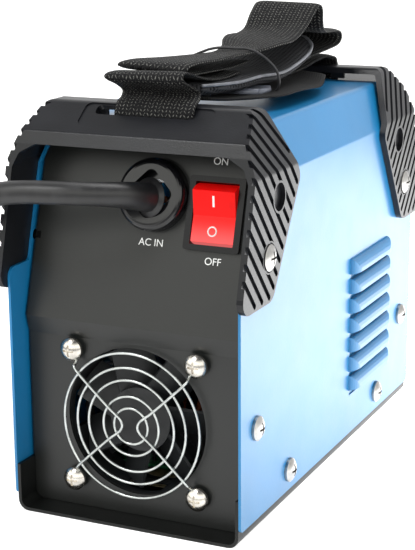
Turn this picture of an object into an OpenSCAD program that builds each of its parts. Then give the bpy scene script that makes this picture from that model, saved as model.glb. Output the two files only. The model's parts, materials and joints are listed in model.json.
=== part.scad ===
// Portable stick welding inverter in a folded steel case, with ribbed end guards,
// a rear fan, a rocker switch, a mains lead and a shoulder strap. Millimetres, +Z up.
// The rear panel faces -Y and the front panel faces +Y.

/* [Case] */
// Width of the painted cover
body_w = 110; // [100:1:120]
// Length of the base tray
body_l = 226; // [210:1:240]
// Height of the cover's flat top
cover_top = 174.4; // [170:0.2:178]
// Thickness of the cover sheet
cover_t = 1.2; // [0.8:0.1:1.6]
// Height of the cover's lower edge above the ground
cover_low = 7.5; // [6:0.5:12]
// Height of the tray's side flanges
tray_h = 21.5; // [18:0.5:24]
// Lean of the upper panels from the vertical
lean = 16.9; // [14:0.1:18]

/* [Guards] */
// Wall of the moulded end guards
guard_t = 3; // [2.5:0.1:3.4]
// Height of the guards' top bar
guard_top = 181.5; // [180:0.5:184]
// Grooves on each side of a guard
groove_count = 13; // [9:1:13]
// Width of a groove
groove_w = 2.5; // [1.8:0.1:3]
// Depth of a groove
groove_d = 1.5; // [0.8:0.1:1.8]

/* [Fan] */
// Width of the square fan frame
fan_size = 70; // [66:1:72]
// Distance between the fan's screws
fan_pitch = 60; // [58:0.5:62]
// Blades on the rotor
fan_blades = 7; // [5:1:9]
// Height of the fan's axis
fan_z = 45; // [44:0.5:48]

/* [Switch and knob] */
// Half of the rocker's travel, in degrees
rocker_tilt = 10; // [6:1:11]
// Diameter of the current knob
knob_d = 26; // [20:1:30]

/* [Mains lead] */
// Diameter of the mains lead
lead_d = 10; // [8:0.5:10]

/* [Hidden] */
$fn = 48;

half_l = body_l / 2;
half_w = body_w / 2;
tray_t = 1.5;                     // tray sheet
tray_r = 5;                       // outer bend of the tray
panel_t = 1.2;                    // panel sheet
panel_in = 12.3;                  // how far the lower panel stands in from the tray's end
knee_low = [panel_in, 80];        // [distance from the end, height] of the panel's knee
knee_high = [10, 88];
panel_bottom = tray_t + 0.2;
panel_half = half_w - cover_t - 0.3;
bend_z = 153.4;                   // where the cover's side turns into its chamfer
top_half = 46.7;                  // half width of the cover's flat top
guard_half = half_w + 0.2 + guard_t;
guard_bend_z = 156.5;
guard_top_half = 49;
screw_r = 2.4;                    // machine screws of the case
hole_r = 2.65;
head_r = 5.4;
guard_screw_at = [22.5, 121.8];   // [distance from the end, height]
guard_disc_at = [33.2, 145.4];
cover_screws_at = [[16.5, 49], [53.5, 17]];
louvre_count = 7;
louvre_pitch = 9.8;
louvre_from = 131;                // distance of the louvres' rear ends from the rear end
louvre_len = 55;
louvre_end = 7;                   // length of a louvre's rounded end
louvre_z = 29.3;
louvre_h = 8.4;
louvre_out = 4;
board_z = 10;
board_t = 1.6;
board_top = board_z + board_t;

// ---- outlines ----

function unit(v) = v / norm(v);
// One rounded corner at b between a and c, as points of an arc
function corner(a, b, c, n) =
    b[2] == 0 ? [[b[0], b[1]]] :
    let (p = [b[0], b[1]], u = unit([a[0], a[1]] - p), w = unit([c[0], c[1]] - p),
         half = acos(u * w) / 2, mid = p + unit(u + w) * b[2] / sin(half),
         s = p + u * b[2] / tan(half) - mid, e = p + w * b[2] / tan(half) - mid,
         a0 = atan2(s[1], s[0]), turn = (atan2(e[1], e[0]) - a0 + 540) % 360 - 180)
    [for (k = [0 : n]) mid + b[2] * [cos(a0 + turn * k / n), sin(a0 + turn * k / n)]];
// Outline through corners [x, y, radius]
function rounded(p, n = 6) = [for (i = [0 : len(p) - 1])
    each corner(p[(i + len(p) - 1) % len(p)], p[i], p[(i + 1) % len(p)], n)];
// Corners mirrored to the left side, in reverse order
function both_sides(p) = concat(p, [for (i = [len(p) - 1 : -1 : 0]) [-p[i][0], p[i][1], p[i][2]]]);

// Chamfered arch seen from the end, inset by i
function arch(low, half, bend, top_x, top, i, r) =
    let (a = atan((half - top_x) / (top - bend)))
    rounded(both_sides([[half - i, low, 0], [half - i, bend - i * tan(a / 2), r],
                        [top_x - i * tan((90 - a) / 2), top - i, r]]));
function cover_arch(i, low = -1, r = 3) =
    arch(low, half_w, bend_z, top_half, cover_top, i, max(r - i, 0.4));
function guard_arch(i, r = 5) =
    arch(90, guard_half, guard_bend_z, guard_top_half, guard_top, i, max(r - i, 0.4));

// Side outline [distance from the rear end, height] extruded across the case
module across(w) {
    translate([-w / 2, -half_l, 0]) rotate([90, 0, 90]) linear_extrude(w) children();
}
// End outline [x, height] extruded along the case between two distances from the rear end
module along(from, to) {
    translate([0, to - half_l, 0]) rotate([90, 0, 0]) linear_extrude(to - from) children();
}
// Turns a part of the rear end into the same part at the front end
module at_front() { rotate([0, 0, 180]) children(); }
// Places children on the rear panel's lower part, +Z outwards and +Y up
module on_lower_panel(x, z) {
    translate([x, panel_in - half_l, z]) rotate([90, 0, 0]) children();
}
// Distance from the rear end of the leaning panel's face at a height
function panel_v(z) = knee_high[0] + (z - knee_high[1]) * tan(lean);
// Places children on the rear panel's leaning part, +Z outwards and +Y up the slope
module on_upper_panel(x, z) {
    translate([x, panel_v(z) - half_l, z]) rotate([90 - lean, 0, 0]) children();
}
// Places children on the right side wall at [distance from the rear end, height], +Z outwards
module on_side(at, x) {
    translate([x, at[0] - half_l, at[1]]) rotate([0, 90, 0]) children();
}
module both_walls() { children(); mirror([1, 0, 0]) children(); }
module both_ends() { children(); mirror([0, 1, 0]) children(); }
// Round bar from z0 to z1
module rod(r, z0, z1) { translate([0, 0, z0]) cylinder(h = z1 - z0, r = r); }
module ring(r_out, r_in, z0, z1) {
    difference() { rod(r_out, z0, z1); rod(r_in, z0 - 1, z1 + 1); }
}
module block(from, to) { translate(from) cube(to - from); }
module plate(w, h, t, r) {
    linear_extrude(t) polygon(rounded([[w / 2, -h / 2, r], [w / 2, h / 2, r],
                                       [-w / 2, h / 2, r], [-w / 2, -h / 2, r]]));
}

// ---- tray and cover ----

function tray_outline(i) = let (h = half_w - cover_t - 0.05 - i, r = tray_r - i)
    rounded([[-h, tray_h + (i > 0 ? 5 : 0), 0], [-h, i, r], [h, i, r], [h, tray_h + (i > 0 ? 5 : 0), 0]]);

module base_tray() {
    color("#15181a") difference() {
        along(0, body_l) polygon(tray_outline(0));
        along(-1, body_l + 1) polygon(tray_outline(tray_t));
        both_ends() both_walls() on_side(cover_screws_at[1], 0) rod(hole_r, 48, 60);
    }
}

step_z = cover_low + 104;         // where the cover's end edge steps in under the guard
step_in = 16.4;
function cover_side() =
    let (top_in = step_in + (cover_top - step_z) * tan(lean - 0.3),
         rear = [[0, cover_low, 2], [0, step_z, 4.5], [step_in, step_z, 2.5], [top_in, cover_top + 1, 0]])
    rounded(concat(rear, [for (i = [3 : -1 : 0]) [body_l - rear[i][0], rear[i][1], rear[i][2]]]));

// Quarter ellipse of the louvres, bulging [out] from the cover's side
function quarter(out, high) = [for (t = [0 : 15 : 90]) [out * cos(t), high * sin(t)]];
module louvre_form(i) {
    out = louvre_out - i;
    end = [for (p = quarter(out, louvre_end)) [half_w + p[0], louvre_end + i - p[1]]];
    intersection() {
        translate([0, louvre_len - i, 0]) rotate([90, 0, 0]) linear_extrude(louvre_len - 2 * i)
            polygon(concat([[half_w - 0.6, 0.6 - i * 3]],
                [for (p = quarter(out, louvre_h - 1.4 + i * 2)) [half_w + p[0], 1.4 - i * 3 + p[1]]],
                [[half_w - 0.6, louvre_h - i]]));
        translate([0, 0, -3]) linear_extrude(louvre_h + 5) polygon(concat([[half_w - 1, i]],
            [for (k = [len(end) - 1 : -1 : 0]) end[k]], [for (p = end) [p[0], louvre_len - p[1]]],
            [[half_w - 1, louvre_len - i]]));
    }
}
module louvre_at(k) {
    translate([0, louvre_from - half_l, louvre_z + k * louvre_pitch]) children();
}

module cover() {
    slot_h = 5.5;
    color("#1b6ea5") difference() {
        union() {
            difference() {
                intersection() {
                    across(body_w + 2) polygon(cover_side());
                    along(-1, body_l + 1) polygon(cover_arch(0));
                }
                along(-2, body_l + 2) polygon(cover_arch(cover_t));
            }
            both_walls() for (k = [0 : louvre_count - 1]) louvre_at(k) louvre_form(0);
        }
        both_walls() for (k = [0 : louvre_count - 1]) louvre_at(k) {
            louvre_form(0.9);
            block([half_w - 4, 1, 0.6], [half_w + 0.3, louvre_len - 1, slot_h]);
        }
        both_ends() {
            both_walls() {
                for (at = cover_screws_at) on_side(at, 0) rod(hole_r, 50, 60);
                on_side(guard_screw_at, 0) rod(hole_r, 50, 60);
            }
            // notch under the guard's strap slot
            block([-27, -half_l, cover_top - 4], [27, 33 - half_l, cover_top + 3]);
        }
    }
}

// ---- end panels ----

panel_top = cover_top - cover_t - 0.3;
function panel_outline() =
    rounded(both_sides([[panel_half - 1.4, panel_bottom, 4], [panel_half - 1.4, tray_h + 0.6, 0],
                        [panel_half, tray_h + 0.6, 0], [panel_half, bend_z - 0.6, 2],
                        [top_half - 1.1, panel_top, 2]]));
panel_path = [[panel_in, panel_bottom - 1], knee_low, knee_high, [panel_v(180), 180]];
// Lean of the panel's stretch i, and of the mitre plane at its point k
function stretch_lean(i) = let (d = panel_path[i + 1] - panel_path[i]) atan2(d[0], d[1]);
function mitre_lean(k) = k == 0 || k == 3 ? 0 : (stretch_lean(k - 1) + stretch_lean(k)) / 2;
function mitre(k, s) = panel_path[k] + s * [cos(mitre_lean(k)), -sin(mitre_lean(k))];

// The panel's face and side flanges, taken d inside its outer skin
module panel_form(d) {
    depth = 15 + 4 * d;
    r = 1.6 - d;
    h = panel_half - d;
    for (i = [0 : 2]) let (p = panel_path[i], q = panel_path[i + 1])
        intersection() {
            translate([0, p[0] - half_l, p[1]]) rotate([-stretch_lean(i), 0, 0]) translate([0, 0, -12])
                linear_extrude(norm(q - p) + 24)
                polygon(rounded([[-h, depth, 0], [-h, d, r], [h, d, r], [h, depth, 0]]));
            across(130) polygon([mitre(i, -30), mitre(i, 60), mitre(i + 1, 60), mitre(i + 1, -30)]);
        }
}
module panel_sheet() {
    difference() {
        intersection() {
            panel_form(0);
            along(-5, 90) polygon(panel_outline());
        }
        panel_form(panel_t);
        both_walls() {
            on_side(cover_screws_at[0], 0) rod(hole_r, 45, 60);
            on_side(guard_screw_at, 0) rod(hole_r, 50, 60);
        }
    }
}

switch_at = [32.8, 137.4];
gland_at = [4, 143];
gland_hole_r = 10.3;
switch_cut = [22.6, 28.8];
module rear_panel() {
    color("#3a3c39") difference() {
        panel_sheet();
        on_lower_panel(0, fan_z) {
            rod(fan_size / 2 - 1.6, -5, 5);
            for (x = [-1, 1], y = [-1, 1]) translate([x, y] * fan_pitch / 2) rod(2.2, -5, 5);
        }
        on_upper_panel(switch_at[0], switch_at[1])
            translate([0, 0, -5]) plate(switch_cut[0], switch_cut[1], 10, 0.5);
        on_upper_panel(gland_at[0], gland_at[1]) rod(gland_hole_r, -5, 5);
    }
}

socket_at = [[-27, 42], [27, 42]];
socket_r = 15;
knob_at = [24, 125];
display_at = [-14, 140];
display_size = [44, 22];
led_at = [[-30, 114], [-18, 114], [-6, 114]];
module front_panel() {
    color("#2c2f30") difference() {
        at_front() panel_sheet();
        at_front() {
            for (s = socket_at) on_lower_panel(s[0], s[1]) rod(11.2, -5, 5);
            on_upper_panel(knob_at[0], knob_at[1]) rod(4.6, -5, 5);
            on_upper_panel(display_at[0], display_at[1])
                translate([0, 0, -5]) plate(display_size[0] + 0.4, display_size[1] + 0.4, 10, 1);
            for (s = led_at) on_upper_panel(s[0], s[1]) rod(1.7, -5, 5);
        }
    }
}

// ---- guards ----

rim_foot = [-6.7, 102.5];         // the rim's lower outer corner
rim_head = [9.8, 164.5];          // the lower edge of the rim's top band
band_top = [12.2, 170];
guard_low_front = [26, 102.5];
guard_nose = [56.8, 150.5];       // the foremost point of the guard's side
function guard_side() = rounded([[rim_foot[0], rim_foot[1], 6], [rim_head[0], rim_head[1], 3],
    [band_top[0], band_top[1], 2], [28, guard_top, 5], [38.5, guard_top, 2],
    [guard_nose[0], guard_nose[1], 5], [guard_low_front[0], guard_low_front[1], 8]]);
roof_slope = atan2(guard_top - band_top[1], 28 - band_top[0]);
function roof_z(v) = band_top[1] + (v - band_top[0]) * tan(roof_slope);
groove_dir = unit([29, -33]);
groove_across = [-groove_dir[1], groove_dir[0]];
groove_first = 143.2;             // offset of the first groove's centre line
groove_pitch = 5.74;
groove_inset = 1.4;               // land left between a groove's end and the guard's edge
guard_edges = [[rim_foot, guard_low_front], [guard_low_front, guard_nose], [guard_nose, [38.5, guard_top]]];
// Distance along the groove at offset c to the first edge of the guard that it meets, less the land
function groove_end(c) = min([for (edge = guard_edges)
    let (e = unit(edge[1] - edge[0]), out = [e[1], -e[0]], slope = out * groove_dir)
    slope < 0.05 ? 999 : (out * edge[0] - groove_inset - c * (out * groove_across)) / slope]);

module groove_bands() {
    half = groove_w / 2;
    for (k = [0 : groove_count - 1])
        let (c = groove_first - k * groove_pitch, stop = groove_end(c) - half,
             tip = c * groove_across + stop * groove_dir) {
            across(140) polygon([for (s = [[-210, -1], [stop, -1], [stop, 1], [-210, 1]])
                c * groove_across + s[0] * groove_dir + s[1] * half * groove_across]);
            translate([-70, tip[0] - half_l, tip[1]]) rotate([0, 90, 0])
                cylinder(h = 140, r = half, $fn = 24);
        }
}

// Space beyond the bevels of the rim's upper corners, i inside them
guard_bevels = [[[0.45, -0.4, 0.8], 153.2], [[0.485, -0.562, 0.669], 128.6]];  // [normal, distance]
module beyond_bevels(i) {
    both_walls() from_rear_end() for (b = guard_bevels) let (n = unit(b[0]))
        rotate([0, acos(n[2]), atan2(n[1], n[0])]) translate([-50, -50, b[1] - i]) cube([100, 100, 40]);
}

module guard() {
    under = guard_top - guard_t;
    wall_in = [14.6, under - 12];
    disc_r = 6;
    difference() {
        intersection() {
            across(140) polygon(guard_side());
            along(-20, 70) polygon(guard_arch(0));
        }
        beyond_bevels(0);
        // hollow under the roof, and the opening that the rim frames
        difference() {
            intersection() {
                across(140) polygon([[wall_in[0], 80], [80, 80], [80, under], [29, under],
                                     [wall_in[0], wall_in[1] + 1.5]]);
                along(-20, 80) polygon(guard_arch(guard_t));
            }
            beyond_bevels(guard_t);
        }
        along(-20, wall_in[0] + 1) polygon(rounded(both_sides([[half_w + 0.2, 80, 0],
            [half_w + 0.2, 154.5, 3], [52.5, 160.5, 3], [45, rim_head[1], 3]])));
        // grooves in the outer skin of the sides and the chamfers
        difference() {
            groove_bands();
            difference() {
                along(-30, 90) polygon(guard_arch(groove_d));
                beyond_bevels(groove_d);
            }
            block([-46, -half_l - 30, guard_top - groove_d - 0.1], [46, -half_l + 90, 190]);
            both_walls() on_side(guard_screw_at, 50) rod(7, 0, 30);
            both_walls() on_side(guard_disc_at, 50) rod(disc_r + 0.9, 0, 30);
        }
        both_walls() {
            on_side(guard_disc_at, guard_half - 2.1) rod(disc_r, 0, 10);
            on_side(guard_screw_at, 50) rod(hole_r, 0, 20);
            on_side(guard_screw_at, guard_half - 0.7) rod(6.4, 0, 10);
        }
        // strap slot through the sloping roof, and the shallow pocket round it
        translate([0, 24.6 - half_l, roof_z(24.6)]) rotate([roof_slope, 0, 0]) {
            translate([0, 0, -8]) plate(46, 5.4, 16, 2);
            translate([2, -3.4, -0.6]) plate(61, 14, 10, 3);
        }
    }
    // rib between the strap slot and the cover's top
    for (x = [-27, 20]) block([x, 29.4 - half_l, cover_top + 0.3], [x + 7, 31 - half_l, under + 0.8]);
}
module rear_guard() { color("#1b1e22") guard(); }
module front_guard() { color("#1b1e22") at_front() guard(); }

// ---- screws ----

// Cross-recessed pan-head screw: head of radius r and height h above z = 0, shank below
module screw(r, h, shank, len) {
    dome = h * 0.65;
    bulge = (r * r + dome * dome) / (2 * dome);
    difference() {
        union() {
            intersection() {
                translate([0, 0, h - bulge]) sphere(r = bulge, $fn = 64);
                rod(r, 0, h + 1);
            }
            rod(shank, -len, 0.5);
        }
        for (a = [0, 90]) rotate([0, 0, a]) block([-r * 0.5, -0.5, h - 1.5], [r * 0.5, 0.5, h + 1]);
    }
}
module guard_screws() {
    color("#c9c5bd") both_ends() both_walls()
        on_side(guard_screw_at, guard_half - 0.7) screw(5.7, 3, screw_r, 5);
}
module cover_screws() {
    color("#c9c5bd") both_ends() both_walls()
        for (at = cover_screws_at) on_side(at, half_w) screw(head_r, 3.2, screw_r, 10);
}

// ---- fan ----

guard_wire = 1.7;
ring_ratio = [1, 0.82, 0.64, 0.415, 0.257];
guard_ring_r = 33.5;
module wire(from, to, r, sides = 16) {
    d = to - from;
    translate(from) rotate([0, acos(d[2] / norm(d)), atan2(d[1], d[0])])
        cylinder(h = norm(d), r = r, $fn = sides);
}
module fan_wire_guard() {
    wire_r = guard_wire / 2;
    ring_z = 5.2;
    spoke_z = ring_z - guard_wire + 0.4;
    foot_z = wire_r * 1.15 + 0.05;
    eye = fan_pitch / 2;
    rise = 25.6;
    bend = 24.1;
    tip = 3;
    color("#b8bdbd") on_lower_panel(0, fan_z) {
        for (k = ring_ratio) translate([0, 0, ring_z])
            rotate_extrude() translate([k * guard_ring_r, 0]) circle(r = wire_r, $fn = 8);
        for (x = [-1, 1], y = [-1, 1]) {
            translate([x * eye, y * eye, 0]) ring(4.1, 2.3, 0.05, guard_wire + 0.2);
            wire([x * (eye - 2.5), y * (eye - 2.5), foot_z], [x * rise, y * rise, foot_z], wire_r, 8);
            wire([x * rise, y * rise, foot_z], [x * bend, y * bend, spoke_z], wire_r, 8);
            translate([x * rise, y * rise, foot_z]) sphere(r = wire_r * 1.15, $fn = 16);
            wire([x * bend, y * bend, spoke_z], [x * tip, 0, spoke_z], wire_r, 8);
            translate([x * bend, y * bend, spoke_z]) sphere(r = wire_r * 1.15, $fn = 16);
        }
        for (x = [-tip, tip]) translate([x, 0, spoke_z]) sphere(r = wire_r * 1.15, $fn = 16);
    }
}
module at_fan_corners() {
    for (x = [-1, 1], y = [-1, 1]) translate([x, y] * fan_pitch / 2) children();
}
fan_deep = 20;
fan_back = -panel_t - fan_deep;   // the fan frame's far face, from the panel's face
module fan_screws() {
    color("#c9c5bd") on_lower_panel(0, fan_z) at_fan_corners()
        translate([0, 0, guard_wire + 0.3]) screw(5.2, 4, 1.9, guard_wire + panel_t + fan_deep + 5);
}
module fan_nuts() {
    color("#b9b6ae") on_lower_panel(0, fan_z) at_fan_corners() difference() {
        translate([0, 0, fan_back - 3.2]) cylinder(h = 3.2, r = 4.1, $fn = 6);
        rod(1.95, fan_back - 4, fan_back + 1);
    }
}
bore_r = 33.2;
boss_r = 13;
module fan_frame() {
    ear = 4.2;
    color("#101214") on_lower_panel(0, fan_z) {
        difference() {
            translate([0, 0, fan_back]) plate(fan_size, fan_size, fan_deep, 3);
            rod(bore_r, fan_back - 1, 5);
            at_fan_corners() rod(2.1, fan_back - 1, 5);
            for (a = [0 : 90 : 270]) rotate([0, 0, a])
                block([fan_size / 2 - 3, -ear * 5, fan_back + 3.5], [fan_size / 2 + 1, ear * 5, -panel_t - 3.5]);
        }
        difference() {
            union() {
                rod(boss_r, fan_back, fan_back + 4);
                rod(4, fan_back, fan_back + 12);
                for (a = [45 : 90 : 315]) rotate([0, 0, a])
                    block([boss_r - 1, -1.5, fan_back], [bore_r + 1, 1.5, fan_back + 3]);
            }
            rod(2.5, fan_back + 1, fan_back + 13);
        }
    }
}
module fan_bearing() {
    color("#b89048") on_lower_panel(0, fan_z) ring(2.5, 1.55, fan_back + 1.2, fan_back + 12);
}
module fan_shaft() {
    color("#c8c8c8") on_lower_panel(0, fan_z) rod(1.5, fan_back + 1.4, fan_back + 16);
}
module fan_rotor() {
    hub_r = 14.5;
    tip_r = 32.2;
    low = fan_back + 5;
    high = fan_back + 17.5;
    color("#17191b") on_lower_panel(0, fan_z) {
        difference() {
            rod(hub_r, low, high);
            rod(hub_r - 1.5, low - 1, high - 3.5);
            rod(1.5, low - 1, fan_back + 16);
        }
        difference() {
            rod(3, low + 8.2, high - 3);
            rod(1.5, low + 7, high - 1.5);
        }
        intersection() {
            ring(tip_r, hub_r - 0.6, low, high);
            for (k = [0 : fan_blades - 1]) rotate([0, 0, k * 360 / fan_blades])
                translate([(tip_r + hub_r) / 2, 0, (low + high) / 2]) rotate([38, 0, 0])
                cube([tip_r - hub_r + 6, 18.5, 1.4], center = true);
        }
    }
}

// ---- rear switch ----

bezel = [25.6, 31.5, 2];
pivot_z = -4;
rocker_half = [9.7, 12.9];
module switch_housing() {
    depth = 15;
    color("#141516") on_upper_panel(switch_at[0], switch_at[1]) difference() {
        union() {
            plate(bezel[0], bezel[1], bezel[2], 1.2);
            translate([0, 0, -depth]) plate(switch_cut[0] - 0.4, switch_cut[1] - 0.4, depth + 0.5, 0.5);
        }
        translate([0, 0, -9.5]) plate(rocker_half[0] * 2 + 0.6, rocker_half[1] * 2 + 0.8, 20, 0.4);
        translate([0, 0, pivot_z]) rotate([0, 90, 0]) cylinder(h = 21.3, r = 1.25, center = true);
    }
}
module switch_terminals() {
    color("#cfc9b8") on_upper_panel(switch_at[0], switch_at[1])
        for (x = [-5, 5], y = [-7, 7]) block([x - 0.4, y - 3.1, -24], [x + 0.4, y + 3.1, -15]);
}
module power_rocker() {
    end_r = 13.1;
    crest = 1.5 - pivot_z;
    tip = [11.2, crest + 2];
    color("#e01010") on_upper_panel(switch_at[0], switch_at[1]) translate([0, 0, pivot_z])
        rotate([rocker_tilt, 0, 0]) rotate([0, 90, 0]) {
            // outline [depth, along the slope] around the pivot
            intersection() {
                cylinder(h = rocker_half[0] * 2, r = end_r, center = true, $fn = 96);
                translate([0, 0, -rocker_half[0]]) linear_extrude(rocker_half[0] * 2)
                    polygon([[-crest, 0], [-tip[1] - 0.5, 14], [1, 14], [2.4, 8], [2.4, -8], [1, -14],
                             [-tip[1] - 0.5, -14]]);
            }
            cylinder(h = 21, r = 1.2, center = true);
        }
}

// ---- lead gland ----

gland_r = 15.7;
gland_h = 7;
module lead_gland() {
    color("#0c0d0e") on_upper_panel(gland_at[0], gland_at[1]) difference() {
        union() {
            rotate_extrude() polygon(concat([[0, 0], [gland_r, 0]],
                corner([gland_r, 0, 0], [gland_r, gland_h, 3], [0, gland_h, 0], 6), [[0, gland_h]]));
            rod(gland_hole_r - 0.3, -11, 0.5);
        }
        translate([0, 0, 1.5]) rotate([0, 0, 45]) plate(16.5, 16.5, 10, 3);
        rod(7, -12, 3);
    }
}
module gland_nut() {
    color("#101112") on_upper_panel(gland_at[0], gland_at[1]) difference() {
        translate([0, 0, -panel_t - 5.1]) cylinder(h = 5, r = 14.5, $fn = 6);
        rod(gland_hole_r - 0.2, -12, 2);
    }
}

// ---- mains lead ----

// The lead's route from the gland to the coil: [x, distance from the rear end, height]
lead_route = [
    [4.5, 19.5, 143.5], [2.6, 13, 145], [-1.5, 5.5, 146.6], [-8, -1, 147.6], [-17, -6, 148.1],
    [-28, -9, 148.2], [-40, -10.5, 147.7], [-52, -11, 145.8], [-64, -11.5, 141.5], [-75, -12, 134.5],
    [-84, -12, 125.5], [-90.5, -12, 115], [-94.5, -11.5, 103], [-96.5, -11, 90],
    [-97.5, -10, 77], [-99, -9, 64], [-102, -8, 51.5], [-107.5, -7.5, 39.5], [-115, -7.5, 27.5],
    [-124, -8.5, 16], [-134.5, -9, 8.8], [-147, -9, 5.3], [-162.5, -9, 5]];
coil_at = [-162.5, 41];           // centre of the coil [x, distance from the rear end]
coil_mid = 50;                    // radius at the middle of its turns
coil_turns = 3.25;                // turns stacked one on another
// The lead's route from the top of the coil to the plug, which lies on the coil
tail_route = [[-212.5, 41, 37.5], [-212.5, 53, 38.6], [-212.3, 66, 41], [-207.5, 84.7, 45], [-193.7, 98.5, 49.5],
    [-175, 103.5, 53.6], [-156.3, 98.5, 57.2], [-142.5, 84.7, 60], [-137.5, 66, 61.2]];
plug_turn = 180;
plug_z = 61.2;

function tangent(p, i) = unit(p[min(i + 1, len(p) - 1)] - p[max(i - 1, 0)]);
module tube(p, r, sides) {
    n = len(p);
    side_hint = [1, 1, -1];
    rings = [for (i = [0 : n - 1]) let (t = tangent(p, i), u = unit(cross(t, side_hint)), w = cross(t, u))
             for (k = [0 : sides - 1]) p[i] + r * (cos(k * 360 / sides) * u + sin(k * 360 / sides) * w)];
    polyhedron(rings, concat([[for (k = [sides - 1 : -1 : 0]) k]],
        [for (i = [0 : n - 2], k = [0 : sides - 1]) let (a = i * sides, b = (k + 1) % sides)
            each [[a + k, a + b, a + sides + b], [a + k, a + sides + b, a + sides + k]]],
        [[for (k = [0 : sides - 1]) (n - 1) * sides + k]]));
}
module from_rear_end() { translate([0, -half_l, 0]) children(); }
module strain_relief() {
    color("#141516") on_upper_panel(gland_at[0], gland_at[1]) {
        rod(6.8, -14, 1.6);
        translate([0, 0, 1.6]) cylinder(h = 5.2, r1 = 6.8, r2 = lead_d / 2 + 0.3);
    }
}
module mains_lead() {
    color("#17181a") from_rear_end() {
        tube(lead_route, lead_d / 2, 12);
        tube(tail_route, lead_d / 2, 12);
    }
}
module mains_lead_coil() {
    side = lead_d / 2;
    high = (coil_turns + 1) * lead_d;
    color("#17181a") from_rear_end() translate([coil_at[0], coil_at[1], 0]) rotate_extrude($fn = 96)
        polygon(rounded([[coil_mid - side, 0, 3], [coil_mid + side, 0, 3],
                         [coil_mid + side, high, 3], [coil_mid - side, high, 3]]));
}
module on_plug() {
    back = tail_route[len(tail_route) - 1];
    from_rear_end() translate([back[0], back[1], plug_z]) rotate([0, 0, plug_turn]) rotate([-90, 0, 0]) children();
}
plug_len = 60;
module plug_body() {
    color("#16171a") on_plug() rotate_extrude()
        polygon(rounded([[0, 0, 0], [6, 0, 1], [8, 20, 1], [13, 23, 2], [15, 32, 6], [15, 42, 5],
                         [18.5, 46, 2], [18.5, plug_len, 1], [0, plug_len, 0]]));
}
module plug_pins() {
    pin_r = 2.4;
    pin_len = 19;
    color("#c4bfae") on_plug() for (x = [-9.5, 9.5]) translate([x, 0, plug_len]) {
        rod(pin_r, 0, pin_len - pin_r);
        translate([0, 0, pin_len - pin_r]) intersection() { sphere(r = pin_r); rod(pin_r, 0, pin_r); }
    }
}

// ---- front controls ----

pot_bush_r = 4.5;
module at_knob() { at_front() on_upper_panel(knob_at[0], knob_at[1]) children(); }
module potentiometer() {
    color("#8d9094") at_knob() difference() {
        union() {
            rod(8.5, -panel_t - 8, -panel_t);
            rod(pot_bush_r, -panel_t - 1, 4);
        }
        rod(3.05, -8, 5);
    }
}
module pot_nut() {
    color("#b9b6ae") at_knob() difference() {
        cylinder(h = 2, r = 7, $fn = 6);
        rod(pot_bush_r + 0.05, -1, 3);
    }
}
module knob_shaft() { color("#c8c8c8") at_knob() rod(3, -7.9, 15); }
module current_knob() {
    grips = 18;
    low = 4.6;
    high = 18;
    color("#1c1d1f") at_knob() difference() {
        rotate_extrude() polygon(rounded([[0, low, 0], [knob_d / 2 + 1.5, low, 0.5], [knob_d / 2, low + 3, 0.5],
                                          [knob_d / 2 - 1, high, 1.5], [0, high, 0]]));
        for (k = [0 : grips - 1]) rotate([0, 0, k * 360 / grips])
            translate([knob_d / 2 + 0.6, 0, low + 4]) cylinder(h = 20, r = 1.3, $fn = 16);
        rod(3, low - 1, 15.2);
    }
}
lens_size = [38, 16];
module at_display() { at_front() on_upper_panel(display_at[0], display_at[1]) children(); }
module display_bezel() {
    color("#111214") at_display() difference() {
        union() {
            plate(display_size[0] + 6, display_size[1] + 6, 2.2, 2);
            translate([0, 0, -7]) plate(display_size[0], display_size[1], 7.5, 1);
        }
        translate([0, 0, 0.8]) plate(lens_size[0], lens_size[1], 5, 0.8);
        translate([0, 0, -8]) plate(lens_size[0] - 3, lens_size[1] - 3, 20, 0.8);
    }
}
module display_lens() {
    color("#5a1010") at_display() translate([0, 0, 0.8]) plate(lens_size[0] - 0.2, lens_size[1] - 0.2, 1.2, 0.7);
}
module front_board() {
    board_n = -13.5;
    color("#1f5a34") at_front() on_upper_panel(0, 130) {
        translate([0, 0, board_n]) plate(84, 56, board_t, 1);
        for (x = [-39, 39], y = [-22, 22]) translate([x, y, 0]) rod(2.5, board_n + board_t, -panel_t);
        translate([18, 10, board_n - 9]) cube([14, 9, 9]);
    }
}
module status_leds() {
    color("#d8c060") at_front() for (s = led_at) on_upper_panel(s[0], s[1]) {
        rod(1.5, -6, 0.4);
        translate([0, 0, 0.4]) intersection() { sphere(r = 1.5); rod(1.5, 0, 1.5); }
    }
}
collar_h = 9;
contact_r = 7;
contact_bore = 4.55;
contact_mouth = 7;
contact_end = -24;
contact_floor = -17;
module at_sockets() { at_front() for (s = socket_at) on_lower_panel(s[0], s[1]) children(); }
module socket_insulators() {
    color("#1a1b1d") at_sockets() difference() {
        union() {
            rotate_extrude() polygon(rounded([[0, 0, 0], [socket_r, 0, 0], [socket_r, collar_h - 1, 1],
                                              [socket_r - 2, collar_h, 1], [0, collar_h, 0]]));
            rod(11, -14, 0.5);
        }
        rod(contact_r + 0.05, -15, 10);
        for (a = [0, 180]) rotate([0, 0, a]) block([contact_r - 1, -1.6, 3], [contact_r + 2.2, 1.6, 10]);
    }
}
module socket_contacts() {
    color("#c79a4b") at_sockets() difference() {
        rod(contact_r, contact_end, contact_mouth);
        rod(contact_bore, contact_floor, contact_mouth + 1);
    }
}
module socket_nuts() {
    color("#2a2b2d") at_sockets() difference() {
        translate([0, 0, -panel_t - 5]) cylinder(h = 5, r = 15.5, $fn = 6);
        rod(11.05, -10, 1);
    }
}

// ---- power electronics ----

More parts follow.
